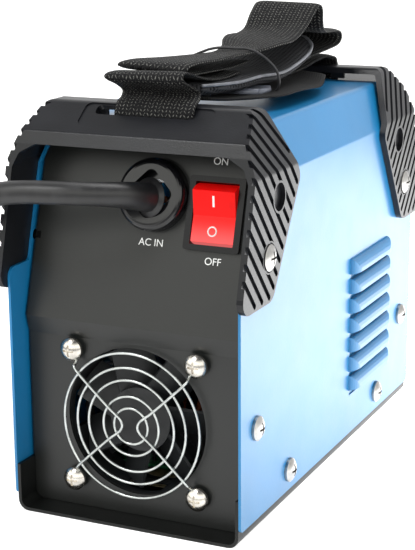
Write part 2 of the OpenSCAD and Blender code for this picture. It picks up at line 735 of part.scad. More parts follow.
board_half = 46;
board_y = [-66, 76];
standoff_at = [for (x = [-40, 40], y = [-60, 71]) [x, y]];
module main_board() {
    color("#1d5c38") difference() {
        block([-board_half, board_y[0], board_z], [board_half, board_y[1], board_top]);
        for (p = standoff_at) translate([p[0], p[1], 0]) rod(1.5, 0, 20);
    }
}
module board_standoffs() {
    color("#b08d4a") for (p = standoff_at) translate([p[0], p[1], 0]) difference() {
        translate([0, 0, tray_t]) cylinder(h = board_z - tray_t, r = 3, $fn = 6);
        rod(1.35, 3, 20);
    }
}
module board_screws() {
    color("#c9c5bd") for (p = standoff_at) translate([p[0], p[1], board_top]) screw(2.8, 1.8, 1.3, 7.5);
}
module insulation_sheet() {
    color("#d9cba6") difference() {
        block([-48, board_y[0] - 2, tray_t], [48, board_y[1] + 2, tray_t + 0.4]);
        for (p = standoff_at) translate([p[0], p[1], 0]) rod(3.4, 0, 5);
    }
}
sink_from = [14, -60];
sink_to = [40, -6];
sink_top = 62;
module igbt_heatsinks() {
    fins = 9;
    color("#c2c6c9") both_walls() {
        block([sink_from[0], sink_from[1], board_top], [sink_from[0] + 4, sink_to[1], sink_top]);
        for (k = [0 : fins - 1]) let (z = board_top + 3 + k * (sink_top - board_top - 4.5) / (fins - 1))
            block([sink_from[0] + 3.9, sink_from[1], z], [sink_to[0], sink_to[1], z + 1.5]);
    }
}
// TO-247 package on its three legs: body from z = 8 up, thickness along x
module power_package() {
    translate([0, -7.8, 8]) cube([5, 15.6, 20.5]);
    for (y = [-5.4, 0, 5.4]) translate([2, y - 0.6, 0]) cube([0.7, 1.2, 8.2]);
}
module igbt_transistors() {
    color("#17181a") both_walls() for (y = [-46, -20])
        translate([sink_from[0] - 5, y, board_top]) power_package();
}
cap_r = 11;
cap_top = 54;
module bulk_capacitors() {
    color("#1c2340") for (x = [-29, 0, 29]) translate([x, 9, 0])
        rotate_extrude() polygon(rounded([[0, board_top, 0], [cap_r, board_top, 1], [cap_r, cap_top, 1.5],
                                          [0, cap_top, 0]]));
}
core_x = [-44, -4];
core_y = [34, 56];
core_z = [12.6, 50.6];
leg = 6;
window_w = 8;
module transformer_core() {
    mid = (core_x[0] + core_x[1]) / 2;
    centre_half = (core_x[1] - core_x[0]) / 2 - leg - window_w;
    color("#3b3d40") difference() {
        block([core_x[0], core_y[0], core_z[0]], [core_x[1], core_y[1], core_z[1]]);
        for (s = [-1, 1]) translate([mid + s * (centre_half + window_w / 2), 0, 0])
            block([-window_w / 2, 0, core_z[0] + leg], [window_w / 2, 90, core_z[1] - leg]);
    }
}
module transformer_windings() {
    mid = (core_x[0] + core_x[1]) / 2;
    middle = (core_y[0] + core_y[1]) / 2;
    low = core_z[0] + leg + 1;
    color("#b9742c") translate([mid, middle, low]) difference() {
        plate(26, 36, core_z[1] - leg - 1 - low, 4);
        translate([0, 0, -1]) plate(12.6, 22.6, 60, 0.5);
    }
}
choke_at = [24, 45];
module choke_core() {
    color("#6b7a3c") translate([choke_at[0], choke_at[1], 0]) rotate_extrude()
        polygon([[9, 17], [17, 17], [17, 30], [9, 30]]);
}
module choke_winding() {
    turns = 16;
    color("#b9742c") translate([choke_at[0], choke_at[1], 0])
        for (k = [0 : turns - 1]) rotate([0, 0, k * 360 / turns]) rotate_extrude(angle = 15, $fn = 96)
            difference() {
                translate([6.6, 14.6]) square([12.8, 17.8]);
                translate([8.8, 16.8]) square([8.4, 13.4]);
            }
}
rect_y = [66, 70];
module rectifier_heatsink() {
    color("#c2c6c9") {
        block([-17, rect_y[0], board_top], [17, rect_y[1], 58]);
        for (x = [-17, -7.5, 5.5, 15]) block([x, rect_y[0] - 2.5, 52], [x + 2, rect_y[0] + 0.1, 58]);
    }
}
module rectifier_diodes() {
    color("#17181a") for (x = [-8.5, 8.5]) translate([x, rect_y[1] + 5, board_top])
        rotate([0, 0, -90]) power_package();
}
module bridge_rectifier() {
    color("#191a1c") translate([0, -64, board_top]) {
        block([-15, 0, 4], [15, 3.6, 24]);
        for (x = [-11.2, -3.7, 3.7, 11.2]) block([x - 0.6, 1.4, 0], [x + 0.6, 2.2, 4.1]);
    }
}
module soft_start_relay() {
    color("#1d3d7a") block([20, 67.5, board_top], [36, 75.5, board_top + 15]);
}
module control_board() {
    x = 42.6;
    color("#1f6a4a") {
        block([x, -50, board_top], [x + board_t, 20, 78]);
        for (at = [[-40, 24, 10, 18], [-22, 50, 16, 8], [0, 30, 8, 12], [4, 56, 12, 14]])
            block([x + board_t - 0.1, at[0], at[1]], [x + board_t + 3, at[0] + at[2], at[1] + at[3]]);
    }
}
contact_back = half_l - panel_in + contact_end;
module output_busbars() {
    t = 2;
    high = 66;
    color("#c4793a") for (side = [[-1, 47, 50.8], [1, 56, 33]]) let (x = side[0] * 27)
        difference() {
            union() {
                block([x - 5, contact_back - t, 36], [x + 5, contact_back, high]);
                block([x - 5, side[1], high - t], [x + 5, contact_back, high]);
                block([x - 5, side[1], side[2]], [x + 5, side[1] + t, high]);
            }
            translate([x, contact_back, 42]) rotate([90, 0, 0]) rod(2.1, -5, 5);
        }
}
module supply_leads() {
    switch_y = -64.5;
    color("#7a3a1c") {
        tube([[1, -72.4, 138.4], [1, -66, 136.5], [6, -58, 135.5], [16, -54, 136], [25, -57, 136.8],
              [27.8, switch_y, 137.2]], 1.6, 8);
        tube([[7, -71.4, 139.8], [8, -64, 142], [14, -52, 145], [26, -46, 145], [35, -51, 141.5],
              [37.8, switch_y, 138]], 1.6, 8);
        tube([[27.8, -66.5, 122.5], [28.3, -62, 116], [29, -60, 106], [27, -61, 90], [22, -63, 70],
              [16, -63.5, 54], [11.2, -63.3, 36.5]], 1.6, 8);
        tube([[37.8, -66.5, 122.5], [38, -66, 114], [36, -69, 102], [28, -71, 84], [17, -70, 66],
              [7, -66, 50], [3.7, -63.3, 36.5]], 1.6, 8);
    }
}
module earth_stud() {
    color("#b9b6ae") translate([-42, -76, tray_t]) {
        rod(2, 0, 11);
        cylinder(h = 3, r = 4, $fn = 6);
        rod(4.5, 3, 4);
        translate([0, 0, 4]) cylinder(h = 3, r = 4, $fn = 6);
    }
}

// ---- shoulder strap ----

web_w = 38;
web_t = 1.8;
// Outline of a band of thickness t that follows points [distance from the rear end, height]
function band(p, t) = let (n = len(p),
    side = [for (i = [0 : n - 1]) let (d = unit(p[min(i + 1, n - 1)] - p[max(i - 1, 0)])) [-d[1], d[0]] * t / 2])
    concat([for (i = [0 : n - 1]) p[i] + side[i]], [for (i = [n - 1 : -1 : 0]) p[i] - side[i]]);
strap_loop = [[33, 191.6], [27.5, 190], [23.5, 186.5], [22.1, 182], [24.6, 178.2], [27.4, 175.8], [31, 175.9],
              [36, 176.4], [41, 176.6], [44, 178.6], [45, 183], [44.4, 188], [42, 191.6]];
module strap_loop_solid() { across(web_w) polygon(band(strap_loop, web_t)); }
module strap_rear_loop() { color("#1a1b1f") strap_loop_solid(); }
module strap_front_loop() { color("#1a1b1f") at_front() strap_loop_solid(); }
module strap_bundle() {
    color("#1d1e22") across(42) polygon(rounded([[14, 193.4, 2], [18, 198, 2], [60, 203, 3], [120, 206, 3],
        [158, 207, 0.5], [160, 213.5, 2], [178, 213, 2], [190, 207, 2], [206, 200, 2], [206, 193.4, 2],
        [172, 193.4, 3], [166, 179, 3], [60, 179, 3], [54, 193.4, 3]]));
}
module strap_slider() {
    color("#5d6068") translate([36, -28, 174.5]) difference() {
        plate(10, 26, 2.6, 2);
        for (y = [-6, 6]) translate([0, y, -1]) plate(5.5, 8, 5, 1);
    }
}
module strap_tie() {
    low = 178;
    high = 207.5;
    color("#101113") translate([0, 0, (low + high) / 2]) rotate([90, 0, 0]) translate([0, 0, -3]) difference() {
        plate(47, high - low + 2, 2, 3);
        translate([0, 0, -1]) plate(44.5, high - low - 0.5, 4, 2);
    }
}

base_tray();
cover();
rear_panel();
front_panel();
rear_guard();
front_guard();
guard_screws();
cover_screws();
fan_wire_guard();
fan_screws();
fan_nuts();
fan_frame();
fan_bearing();
fan_shaft();
fan_rotor();
switch_housing();
switch_terminals();
power_rocker();
lead_gland();
gland_nut();
strain_relief();
mains_lead();
mains_lead_coil();
plug_body();
plug_pins();
potentiometer();
pot_nut();
knob_shaft();
current_knob();
display_bezel();
display_lens();
front_board();
status_leds();
socket_insulators();
socket_contacts();
socket_nuts();
main_board();
board_standoffs();
board_screws();
insulation_sheet();
igbt_heatsinks();
igbt_transistors();
bulk_capacitors();
transformer_core();
transformer_windings();
choke_core();
choke_winding();
rectifier_heatsink();
rectifier_diodes();
bridge_rectifier();
soft_start_relay();
control_board();
output_busbars();
supply_leads();
earth_stud();
strap_rear_loop();
strap_front_loop();
strap_bundle();
strap_slider();
strap_tie();
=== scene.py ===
"""Looks of a portable stick welding inverter: finishes, shoulder strap, mains lead, marks and studio.

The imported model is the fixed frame. This file gives its nodes their finishes and adds the pieces
that are soft or too fine for it: the folded webbing strap, the mains lead and the printed marks.
"""
import json
import math

import bmesh
import bpy
from mathutils import Matrix, Vector


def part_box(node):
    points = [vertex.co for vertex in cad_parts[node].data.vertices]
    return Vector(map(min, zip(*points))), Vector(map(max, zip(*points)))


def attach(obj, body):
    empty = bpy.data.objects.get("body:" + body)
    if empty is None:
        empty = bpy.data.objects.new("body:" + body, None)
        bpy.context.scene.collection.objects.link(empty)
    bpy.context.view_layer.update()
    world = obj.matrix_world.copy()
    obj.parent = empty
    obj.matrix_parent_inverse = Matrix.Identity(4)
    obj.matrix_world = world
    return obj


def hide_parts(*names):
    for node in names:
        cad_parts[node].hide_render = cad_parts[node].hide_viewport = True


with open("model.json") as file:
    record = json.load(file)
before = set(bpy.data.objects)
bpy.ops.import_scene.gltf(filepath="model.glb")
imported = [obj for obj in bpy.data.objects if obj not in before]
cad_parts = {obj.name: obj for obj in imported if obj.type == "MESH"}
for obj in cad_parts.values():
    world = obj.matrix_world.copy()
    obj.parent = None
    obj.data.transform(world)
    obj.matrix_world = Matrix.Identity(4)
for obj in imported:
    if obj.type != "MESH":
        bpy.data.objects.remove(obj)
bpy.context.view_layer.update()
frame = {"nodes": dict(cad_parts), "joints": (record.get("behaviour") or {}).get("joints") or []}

bl_info = {
    "name": "Welding inverter looks",
    "version": (1, 0, 0),
    "blender": (4, 5, 0),
    "location": "3D View > Sidebar > Inverter",
    "description": "Finishes, strap, mains lead and studio of a portable welding inverter",
    "category": "Object",
}

MM = 0.001
CASE = "case"
HALF_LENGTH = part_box("base_tray")[1].y
NODES = frame["nodes"]
JOINTS = {joint["name"]: joint for joint in frame["joints"]}


# ---- places in the frame ----

def at(x, back, z):
    """A point in millimetres: x, distance from the case's rear end, height."""
    return Vector((x * MM, back * MM - HALF_LENGTH, z * MM))


class Face:
    """A flat face of the case: millimetres across, up and out from a point on it."""

    def __init__(self, origin, across, up):
        self.origin = Vector(origin)
        self.across = Vector(across).normalized()
        self.up = Vector(up).normalized()
        self.out = self.across.cross(self.up)

    def point(self, x, y, out=0.0):
        return self.origin + (self.across * x + self.up * y + self.out * out) * MM

    def matrix(self, x, y, out=0.0):
        turn = Matrix((self.across, self.up, self.out)).transposed().to_4x4()
        return Matrix.Translation(self.point(x, y, out)) @ turn


def leaning_face(pivot, depth, side):
    """The leaning panel's face that a joint's pivot lies depth millimetres behind; side is -1 at the rear."""
    inward = Vector(JOINTS["current_dial"]["axis"])
    lean = math.asin(-inward.z)
    out = Vector((0, side * math.cos(lean), math.sin(lean)))
    up = Vector((0, -side * math.sin(lean), math.cos(lean)))
    return Face(Vector(pivot) + out * depth * MM, (-side, 0, 0), up)


SWITCH_FACE = leaning_face(JOINTS["rocker_tilt"]["pos_m"], 4, -1)
KNOB_FACE = leaning_face(JOINTS["current_dial"]["pos_m"], 1.2, 1)
GLAND_LOW, GLAND_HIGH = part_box("lead_gland")
FAN_LOW, FAN_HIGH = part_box("fan_wire_guard")


# ---- shader maths ----

class Link:
    """A value or colour in a material's nodes. Arithmetic on it adds Math or Vector Math nodes."""

    def __init__(self, finish, socket):
        self.finish = finish
        self.socket = socket

    def _math(self, operation, *values):
        return self.finish.node("ShaderNodeMath", list(values), operation=operation)

    def __add__(self, other):
        return self._math("ADD", self, other)

    def __radd__(self, other):
        return self._math("ADD", other, self)

    def __sub__(self, other):
        return self._math("SUBTRACT", self, other)

    def __rsub__(self, other):
        return self._math("SUBTRACT", other, self)

    def __mul__(self, other):
        return self._math("MULTIPLY", self, other)

    def __rmul__(self, other):
        return self._math("MULTIPLY", other, self)

    def __truediv__(self, other):
        return self._math("DIVIDE", self, other)

    def __pow__(self, other):
        return self._math("POWER", self, other)

    def sine(self):
        return self._math("SINE", self)

    def fraction(self):
        return self._math("FRACT", self)

    def size(self):
        return self._math("ABSOLUTE", self)

    def above(self, other):
        return self._math("GREATER_THAN", self, other)

    def ramp(self, low, high):
        """0 below low and 1 above high, smoothly between them."""
        return self.finish.node("ShaderNodeMapRange", {"Value": self, "From Min": low, "From Max": high},
                                interpolation_type="SMOOTHSTEP")


class Nodes:
    """A node tree under construction."""

    def __init__(self, tree):
        self.tree = tree

    def node(self, kind, values=(), out=0, **settings):
        """Adds a node, makes its settings, fills its sockets and returns one of its outputs."""
        made = self.tree.nodes.new(kind)
        for name, value in settings.items():
            setattr(made, name, value)
        pairs = values.items() if isinstance(values, dict) else enumerate(values)
        for name, value in pairs:
            self._fill(made.inputs[name], value)
        return Link(self, made.outputs[out])

    def _fill(self, socket, value):
        if isinstance(value, Link):
            self.tree.links.new(value.socket, socket)
        elif socket.type == "RGBA" and len(value) == 3:
            socket.default_value = (*value, 1)
        else:
            socket.default_value = value

    def axis(self, vector, name):
        return self.node("ShaderNodeSeparateXYZ", [vector], out=name)

    def blend(self, factor, low, high):
        made = self.tree.nodes.new("ShaderNodeMix")
        made.data_type = "RGBA"
        for socket, value in zip((made.inputs[0], made.inputs[6], made.inputs[7]), (factor, low, high)):
            self._fill(socket, value)
        return Link(self, made.outputs[2])


class Finish(Nodes):
    """A Principled material under construction."""

    def __init__(self, name):
        self.material = bpy.data.materials.new(name)
        self.material.use_nodes = True
        super().__init__(self.material.node_tree)
        self.shader = self.tree.nodes["Principled BSDF"]

    def place(self):
        """Coordinates in metres in the frame."""
        return self.node("ShaderNodeTexCoord", out="Object")

    def weave_place(self):
        """Coordinates in metres along and across a band."""
        return self.node("ShaderNodeUVMap", uv_map="weave")

    def stretched(self, vector, scale):
        return self.node("ShaderNodeVectorMath", [vector, scale], operation="MULTIPLY")

    def noise(self, scale, detail=2.0, vector=None, roughness=0.5):
        return self.node("ShaderNodeTexNoise", {"Vector": vector or self.place(), "Scale": scale,
                                                "Detail": detail, "Roughness": roughness})

    def bump(self, height, depth, strength=1.0):
        """A bump whose height, from 0 to 1, stands for depth millimetres."""
        return self.node("ShaderNodeBump", {"Height": height, "Distance": depth * MM, "Strength": strength})

    def set(self, **sockets):
        """Fills the shader's sockets, named with underscores for spaces."""
        for name, value in sockets.items():
            self._fill(self.shader.inputs[name.replace("_", " ")], value)
        return self.material


def shade(colour, factor):
    return tuple(min(1.0, part * factor) for part in colour)


# ---- finishes ----

def painted_sheet(name, colour, roughness, grain=0.02, coat=0.0, specular=0.5):
    """Baked paint on folded sheet: faint orange peel and a slightly uneven tone."""
    paint = Finish(name)
    tone = paint.noise(14.0, 3.0)
    peel = paint.noise(700.0, 2.0)
    fine = paint.noise(3200.0, 1.0)
    return paint.set(
        Base_Color=paint.blend(tone.ramp(0.3, 0.7), shade(colour, 0.9), shade(colour, 1.08)),
        Roughness=paint.noise(60.0, 3.0) * 0.12 + (roughness - 0.06),
        Coat_Weight=coat, Coat_Roughness=0.12, Specular_IOR_Level=specular,
        Normal=paint.bump(peel + fine * 0.5, grain))


def moulded_plastic(name, colour, roughness, texture=0.05, grain_scale=1500.0, specular=0.5):
    """Moulded plastic with the fine spark-eroded texture of its mould."""
    plastic = Finish(name)
    grain = plastic.noise(grain_scale, 3.0)
    wear = plastic.noise(40.0, 4.0)
    return plastic.set(
        Base_Color=plastic.blend(wear.ramp(0.35, 0.75), colour, shade(colour, 1.6)),
        Roughness=wear * 0.16 + (roughness - 0.08),
        Specular_IOR_Level=specular,
        Normal=plastic.bump(grain, texture))


def polished_plastic(name, colour, roughness=0.12, specular=0.5):
    """Glossy moulded plastic with faint sink marks."""
    plastic = Finish(name)
    smudge = plastic.noise(90.0, 4.0)
    return plastic.set(
        Base_Color=plastic.blend(smudge, shade(colour, 0.85), shade(colour, 1.15)),
        Roughness=smudge * 0.14 + (roughness - 0.04),
        Specular_IOR_Level=specular,
        Normal=plastic.bump(plastic.noise(160.0, 1.0), 0.03))


def plated_metal(name, colour, roughness, drawn=0.02, shaded_within=0.0):
    """Plated or drawn metal: stains in the tone and fine scratches, and near-black painted shade on whatever lies
    nearer the case's middle than the given depth, where screw shanks reach into the case.
    """
    metal = Finish(name)
    stain = metal.noise(220.0, 4.0)
    scratch = metal.noise(1.0, 2.0, vector=metal.stretched(metal.place(), (2600, 2600, 500)))
    plate = metal.blend(stain.ramp(0.3, 0.75), shade(colour, 0.72), colour)
    # painted shade: near black nearer the case's middle than the given depth, on shanks inside the case
    unshaded = metal.axis(metal.place(), "X").size().ramp(shaded_within - 1 * MM, shaded_within)
    return metal.set(
        Base_Color=metal.blend(unshaded, (0.01, 0.01, 0.01), plate),
        Metallic=1.0,
        Roughness=scratch * 0.16 + stain * 0.1 + (roughness - 0.1),
        Normal=metal.bump(scratch, drawn))


def rubber(name, colour, roughness=0.5):
    """Extruded or moulded rubber with a dusty, slightly mottled skin."""
    skin = Finish(name)
    dust = skin.noise(180.0, 5.0)
    return skin.set(
        Base_Color=skin.blend(dust.ramp(0.4, 0.8), colour, shade(colour, 2.0)),
        Roughness=dust * 0.2 + (roughness - 0.1),
        Normal=skin.bump(skin.noise(1400.0, 3.0), 0.03))


def herringbone_webbing(name, colour, thread_and_highlight):
    """Woven webbing: rows of slanting threads that meet in small arrowheads, with painted highlights: lighter specks on
    the ridges where the threads would catch the light.
    """
    weave = Finish(name)
    place = weave.weave_place()
    along = weave.axis(place, "X")
    across = weave.axis(place, "Y")
    zigzag = ((across / (3.4 * MM)).fraction() - 0.5).size() * (3.0 * MM)
    ridge = ((along + zigzag) / (1.5 * MM) * (2 * math.pi)).sine() * 0.5 + 0.5
    strand = ((across / (1.7 * MM) - 0.25) * (2 * math.pi)).sine() * 0.5 + 0.5
    fuzz = weave.noise(1900.0, 2.0)
    height = ridge * strand * 0.8 + ridge * 0.2
    # lit is high on the thread ridges; the base colour turns to the lighter colour there as a painted highlight
    lit = height * (fuzz.ramp(0.35, 0.6) * 0.6 + 0.4)
    return weave.set(
        Base_Color=weave.blend(lit.ramp(0.35, 0.8), colour, thread_and_highlight),
        Roughness=fuzz * 0.2 + 0.6,
        Specular_IOR_Level=0.2,
        Normal=weave.bump(height + fuzz * 0.3, 0.5))


def ribbed_webbing(name, colour, thread_and_highlight):
    """Plain seat-belt webbing: close ribs across the band, with the lighter colour painted on the rib tops as a painted
    highlight.
    """
    weave = Finish(name)
    place = weave.weave_place()
    along = weave.axis(place, "X")
    across = weave.axis(place, "Y")
    rib = ((along / (1.5 * MM)) * (2 * math.pi)).sine() * 0.5 + 0.5
    strand = ((across / (1.1 * MM)) * (2 * math.pi)).sine() * 0.5 + 0.5
    fuzz = weave.noise(2400.0, 3.0)
    height = rib * 0.6 + strand * 0.4
    # the lighter colour on the rib tops is a painted highlight
    return weave.set(
        Base_Color=weave.blend((height * fuzz * 1.5).ramp(0.4, 1.0), colour, thread_and_highlight),
        Roughness=fuzz * 0.2 + 0.6,
        Specular_IOR_Level=0.2,
        Normal=weave.bump(height + fuzz * 0.2, 0.3))


def spacer_mesh(name, colour, thread_and_highlight):
    """Knitted mesh of a shoulder pad: a grid of small holes."""
    weave = Finish(name)
    place = weave.weave_place()
    holes = 1.0
    for axis_name in ("X", "Y"):
        wave = ((weave.axis(place, axis_name) / (2.0 * MM)) * (2 * math.pi)).sine() * 0.5 + 0.5
        holes = wave * holes
    return weave.set(
        Base_Color=weave.blend(holes.ramp(0.25, 0.6), thread_and_highlight, colour),
        Roughness=0.8, Specular_IOR_Level=0.2,
        Normal=weave.bump(1 - holes, 0.5))


def lit_rocker(name, colour, low, high):
    """Red rocker with its lamp on: the plastic glows red from the lamp, and its low end glows palest and brightest as a
    painted reflection of a soft light.
    """
    lens = Finish(name)
    depth = lens.noise(260.0, 2.0)
    # painted reflection: the rocker's low end glows paler, standing in for a soft light's reflection over the lamp's
    # red glow
    reflected_end = 1 - lens.axis(lens.place(), "Z").ramp(low, high)
    pale_reflection = lens.blend(0.2, colour, (1, 1, 1))
    return lens.set(
        Base_Color=lens.blend(depth, shade(colour, 0.55), shade(colour, 0.85)),
        Roughness=depth * 0.08 + 0.12,
        Specular_IOR_Level=0.2,
        Emission_Color=lens.blend(reflected_end, shade(colour, 0.35), pale_reflection),
        Emission_Strength=0.6)


def lamp(name, colour, strength):
    glow = Finish(name)
    return glow.set(
        Base_Color=glow.blend(glow.noise(500.0), shade(colour, 0.9), colour),
        Roughness=0.3, Emission_Color=colour, Emission_Strength=strength)


def tinted_lens(name, colour):
    lens = Finish(name)
    return lens.set(
        Base_Color=lens.blend(lens.noise(200.0), shade(colour, 0.9), colour),
        Roughness=0.05, Transmission_Weight=0.85, IOR=1.45)


def printed_ink(name, colour):
    ink = Finish(name)
    return ink.set(
        Base_Color=ink.blend(ink.noise(900.0, 3.0).ramp(0.3, 0.6), shade(colour, 0.85), colour),
        Roughness=0.5)


def circuit_board(name, colour):
    """Solder mask over copper tracks, which show as lighter lines and dots."""
    board = Finish(name)
    place = board.place()
    track = 0.0
    for axis_name in ("X", "Y", "Z"):
        line = (board.axis(place, axis_name) / (3.1 * MM)).fraction() - 0.5
        track = 1 - (1 - line.size().ramp(0.36, 0.4)) * (1 - track)
    patch = board.noise(90.0, 2.0).ramp(0.48, 0.52)
    return board.set(
        Base_Color=board.blend(track * patch, colour, shade(colour, 1.9)),
        Roughness=0.32, Coat_Weight=0.4, Coat_Roughness=0.15,
        Normal=board.bump(track * patch, 0.05))


def wound_wire(name, colour):
    """Enamelled winding wire, laid side by side, painted darker between the turns as shade in the creases."""
    wire = Finish(name)
    turns = ((wire.axis(wire.place(), "Z") / (1.2 * MM)) * (2 * math.pi)).sine() * 0.5 + 0.5
    # painted shade: the colour darkens where turns is low, between the wires
    return wire.set(
        Base_Color=wire.blend(turns, shade(colour, 0.55), colour),
        Metallic=0.9, Roughness=turns * 0.1 + 0.22,
        Normal=wire.bump(turns, 0.4))


# ---- mesh work ----

def new_piece(name, mesh, material, body=CASE, smooth=True):
    """An object for a mesh, with its finish, that rides on a body."""
    mesh.materials.append(material)
    if smooth:
        mesh.shade_smooth()
    piece = bpy.data.objects.new(name, mesh)
    bpy.context.scene.collection.objects.link(piece)
    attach(piece, body)
    return piece


def from_bmesh(name, shape):
    bmesh.ops.recalc_face_normals(shape, faces=shape.faces)
    mesh = bpy.data.meshes.new(name)
    shape.to_mesh(mesh)
    shape.free()
    return mesh


def smooth_path(points, steps):
    """Points on one smooth curve through the given ones (Catmull-Rom)."""
    path = []
    last = len(points) - 1
    for i in range(last):
        before, a, b, after = points[max(i - 1, 0)], points[i], points[i + 1], points[min(i + 2, last)]
        for k in range(steps):
            t = k / steps
            path.append(0.5 * (2 * a + (b - before) * t + (2 * before - 5 * a + 4 * b - after) * t ** 2
                               + (3 * a - before - 3 * b + after) * t ** 3))
    path.append(points[-1])
    return path


def tangents(path, closed=False):
    count = len(path)
    found = []
    for i in range(count):
        ahead = path[(i + 1) % count] if closed else path[min(i + 1, count - 1)]
        behind = path[i - 1] if closed or i else path[0]
        found.append((ahead - behind).normalized())
    return found


def add_tube(shape, path, radius, sides=12, closed=False):
    """A round tube along a path; radius is a number or one number a point."""
    radii = radius if isinstance(radius, (list, tuple)) else [radius] * len(path)
    rings = []
    side = None
    for point, ahead, r in zip(path, tangents(path, closed), radii):
        side = ahead.orthogonal() if side is None else side - ahead * side.dot(ahead)
        side.normalize()
        other = ahead.cross(side)
        rings.append([shape.verts.new(point + (side * math.cos(a) + other * math.sin(a)) * r)
                      for a in (2 * math.pi * k / sides for k in range(sides))])
    pairs = list(zip(rings, rings[1:] + rings[:1])) if closed else list(zip(rings, rings[1:]))
    for first, second in pairs:
        for k in range(sides):
            j = (k + 1) % sides
            shape.faces.new((first[k], first[j], second[j], second[k]))
    if not closed:
        shape.faces.new(list(reversed(rings[0])))
        shape.faces.new(rings[-1])


def add_ring(shape, centre, radius, wire, across, up, segments=72, sides=12):
    path = [centre + (across * math.cos(a) + up * math.sin(a)) * radius
            for a in (2 * math.pi * k / segments for k in range(segments))]
    add_tube(shape, path, wire, sides, closed=True)


def band_mesh(name, left, right, thickness, columns=20):
    """A closed band between two edge paths, with soft edges and a weave map in metres."""
    shape = bmesh.new()
    weave = shape.loops.layers.uv.new("weave")
    middle = [(a + b) / 2 for a, b in zip(left, right)]
    width = (left[0] - right[0]).length
    spots = {}
    rings = []
    run = 0.0
    for i, (a, b, ahead) in enumerate(zip(left, right, tangents(middle))):
        run += (middle[i] - middle[i - 1]).length if i else 0.0
        normal = ahead.cross(b - a).normalized()
        ring = []
        for face in (1, -1):
            for k in (range(columns + 1) if face == 1 else range(columns, -1, -1)):
                share = 2 * k / columns - 1
                lift = thickness / 2 * (1 - abs(share) ** 10 * 0.75) * face
                vert = shape.verts.new(a.lerp(b, (share + 1) / 2) + normal * lift)
                spots[vert] = (run, width * (share + 1) / 2)
                ring.append(vert)
        rings.append(ring)
    for first, second in zip(rings, rings[1:]):
        for k in range(len(first)):
            j = (k + 1) % len(first)
            shape.faces.new((first[k], first[j], second[j], second[k]))
    for ring in (rings[0], rings[-1]):
        for k in range(columns):
            shape.faces.new((ring[k], ring[k + 1], ring[-2 - k], ring[-1 - k]))
    for face in shape.faces:
        for loop in face.loops:
            loop[weave].uv = spots[loop.vert]
    return from_bmesh(name, shape)


def band(name, stations, width, thickness, material, steps=8):
    """Webbing through stations (x, distance from the rear, height, turn, tilt, share) of its middle line.

    turn swings the band's width about the vertical and tilt lifts its right edge, in degrees; share is
    the part of its full width that the band has left where it is gathered."""
    edges = ([], [])
    for x, back, z, turn, tilt, share in stations:
        turn, tilt = math.radians(turn), math.radians(tilt)
        half = Vector((math.cos(turn) * math.cos(tilt), math.sin(turn) * math.cos(tilt), math.sin(tilt)))
        half *= width * share / 2
        edges[0].append(at(x, back, z) - half)
        edges[1].append(at(x, back, z) + half)
    left, right = (smooth_path(edge, steps) for edge in edges)
    return new_piece(name, band_mesh(name, left, right, thickness), material)


def flipped(stations):
    """The same band at the front end of the case."""
    length = 2 * HALF_LENGTH / MM
    return [(-x, length - back, z, turn, -tilt, share) for x, back, z, turn, tilt, share in stations]


def outline_mesh(name, text, size, thickness=0.05, gap=0.0):
    """Flat raised lettering in the built-in typeface, centred on its origin."""
    curve = bpy.data.curves.new(name, "FONT")
    curve.body = text
    curve.size = size * MM
    curve.align_x = "CENTER"
    curve.align_y = "CENTER"
    curve.extrude = thickness * MM
    curve.space_character = 1.0 + gap
    holder = bpy.data.objects.new(name, curve)
    bpy.context.scene.collection.objects.link(holder)
    bpy.context.view_layer.update()
    mesh = bpy.data.meshes.new_from_object(holder.evaluated_get(bpy.context.evaluated_depsgraph_get()))
    bpy.data.objects.remove(holder)
    mesh.name = name
    return mesh


def add_bar(shape, face, start, end, width, thickness=0.08, out=0.0):
    """A flat printed bar between two points (x, y) on a face."""
    a, b = Vector(start), Vector(end)
    side = (b - a).normalized()
    side = Vector((-side.y, side.x)) * width / 2
    corners = [a + side, a - side, b - side, b + side]
    low = [shape.verts.new(face.point(c.x, c.y, out - thickness)) for c in corners]
    high = [shape.verts.new(face.point(c.x, c.y, out + thickness)) for c in corners]
    shape.faces.new(high)
    shape.faces.new(list(reversed(low)))
    for k in range(4):
        j = (k + 1) % 4
        shape.faces.new((low[k], low[j], high[j], high[k]))


def dress(material, *names):
    """Gives CAD nodes a finish."""
    for name in names:
        slots = NODES[name].data.materials
        slots.clear()
        slots.append(material)


# ---- settings ----

class CaseLooks(bpy.types.PropertyGroup):
    cover_colour: bpy.props.FloatVectorProperty(
        name="Cover", description="Paint of the folded cover", subtype="COLOR", default=(0.006, 0.165, 0.380))
    panel_colour: bpy.props.FloatVectorProperty(
        name="Panels", description="Paint of the end panels", subtype="COLOR", default=(0.0075, 0.0085, 0.0080))
    guard_colour: bpy.props.FloatVectorProperty(
        name="Guards", description="Plastic of the end guards", subtype="COLOR", default=(0.0055, 0.0060, 0.0080))
    rocker_colour: bpy.props.FloatVectorProperty(
        name="Rocker", description="Plastic of the lit rocker", subtype="COLOR", default=(1.0, 0.006, 0.005))


class StrapSizes(bpy.types.PropertyGroup):
    width: bpy.props.FloatProperty(
        name="Width", description="Width of the webbing", unit="LENGTH", default=0.037)
    thickness: bpy.props.FloatProperty(
        name="Thickness", description="Thickness of the webbing", unit="LENGTH", default=0.0018)


class LeadSizes(bpy.types.PropertyGroup):
    length: bpy.props.FloatProperty(
        name="Length", description="Length of the mains lead", unit="LENGTH", default=1.5)
    diameter: bpy.props.FloatProperty(
        name="Diameter", description="Diameter of the mains lead", unit="LENGTH", default=0.01)
    coil_radius: bpy.props.FloatProperty(
        name="Coil radius", description="Radius at the middle of the coil's turns", unit="LENGTH", default=0.05)


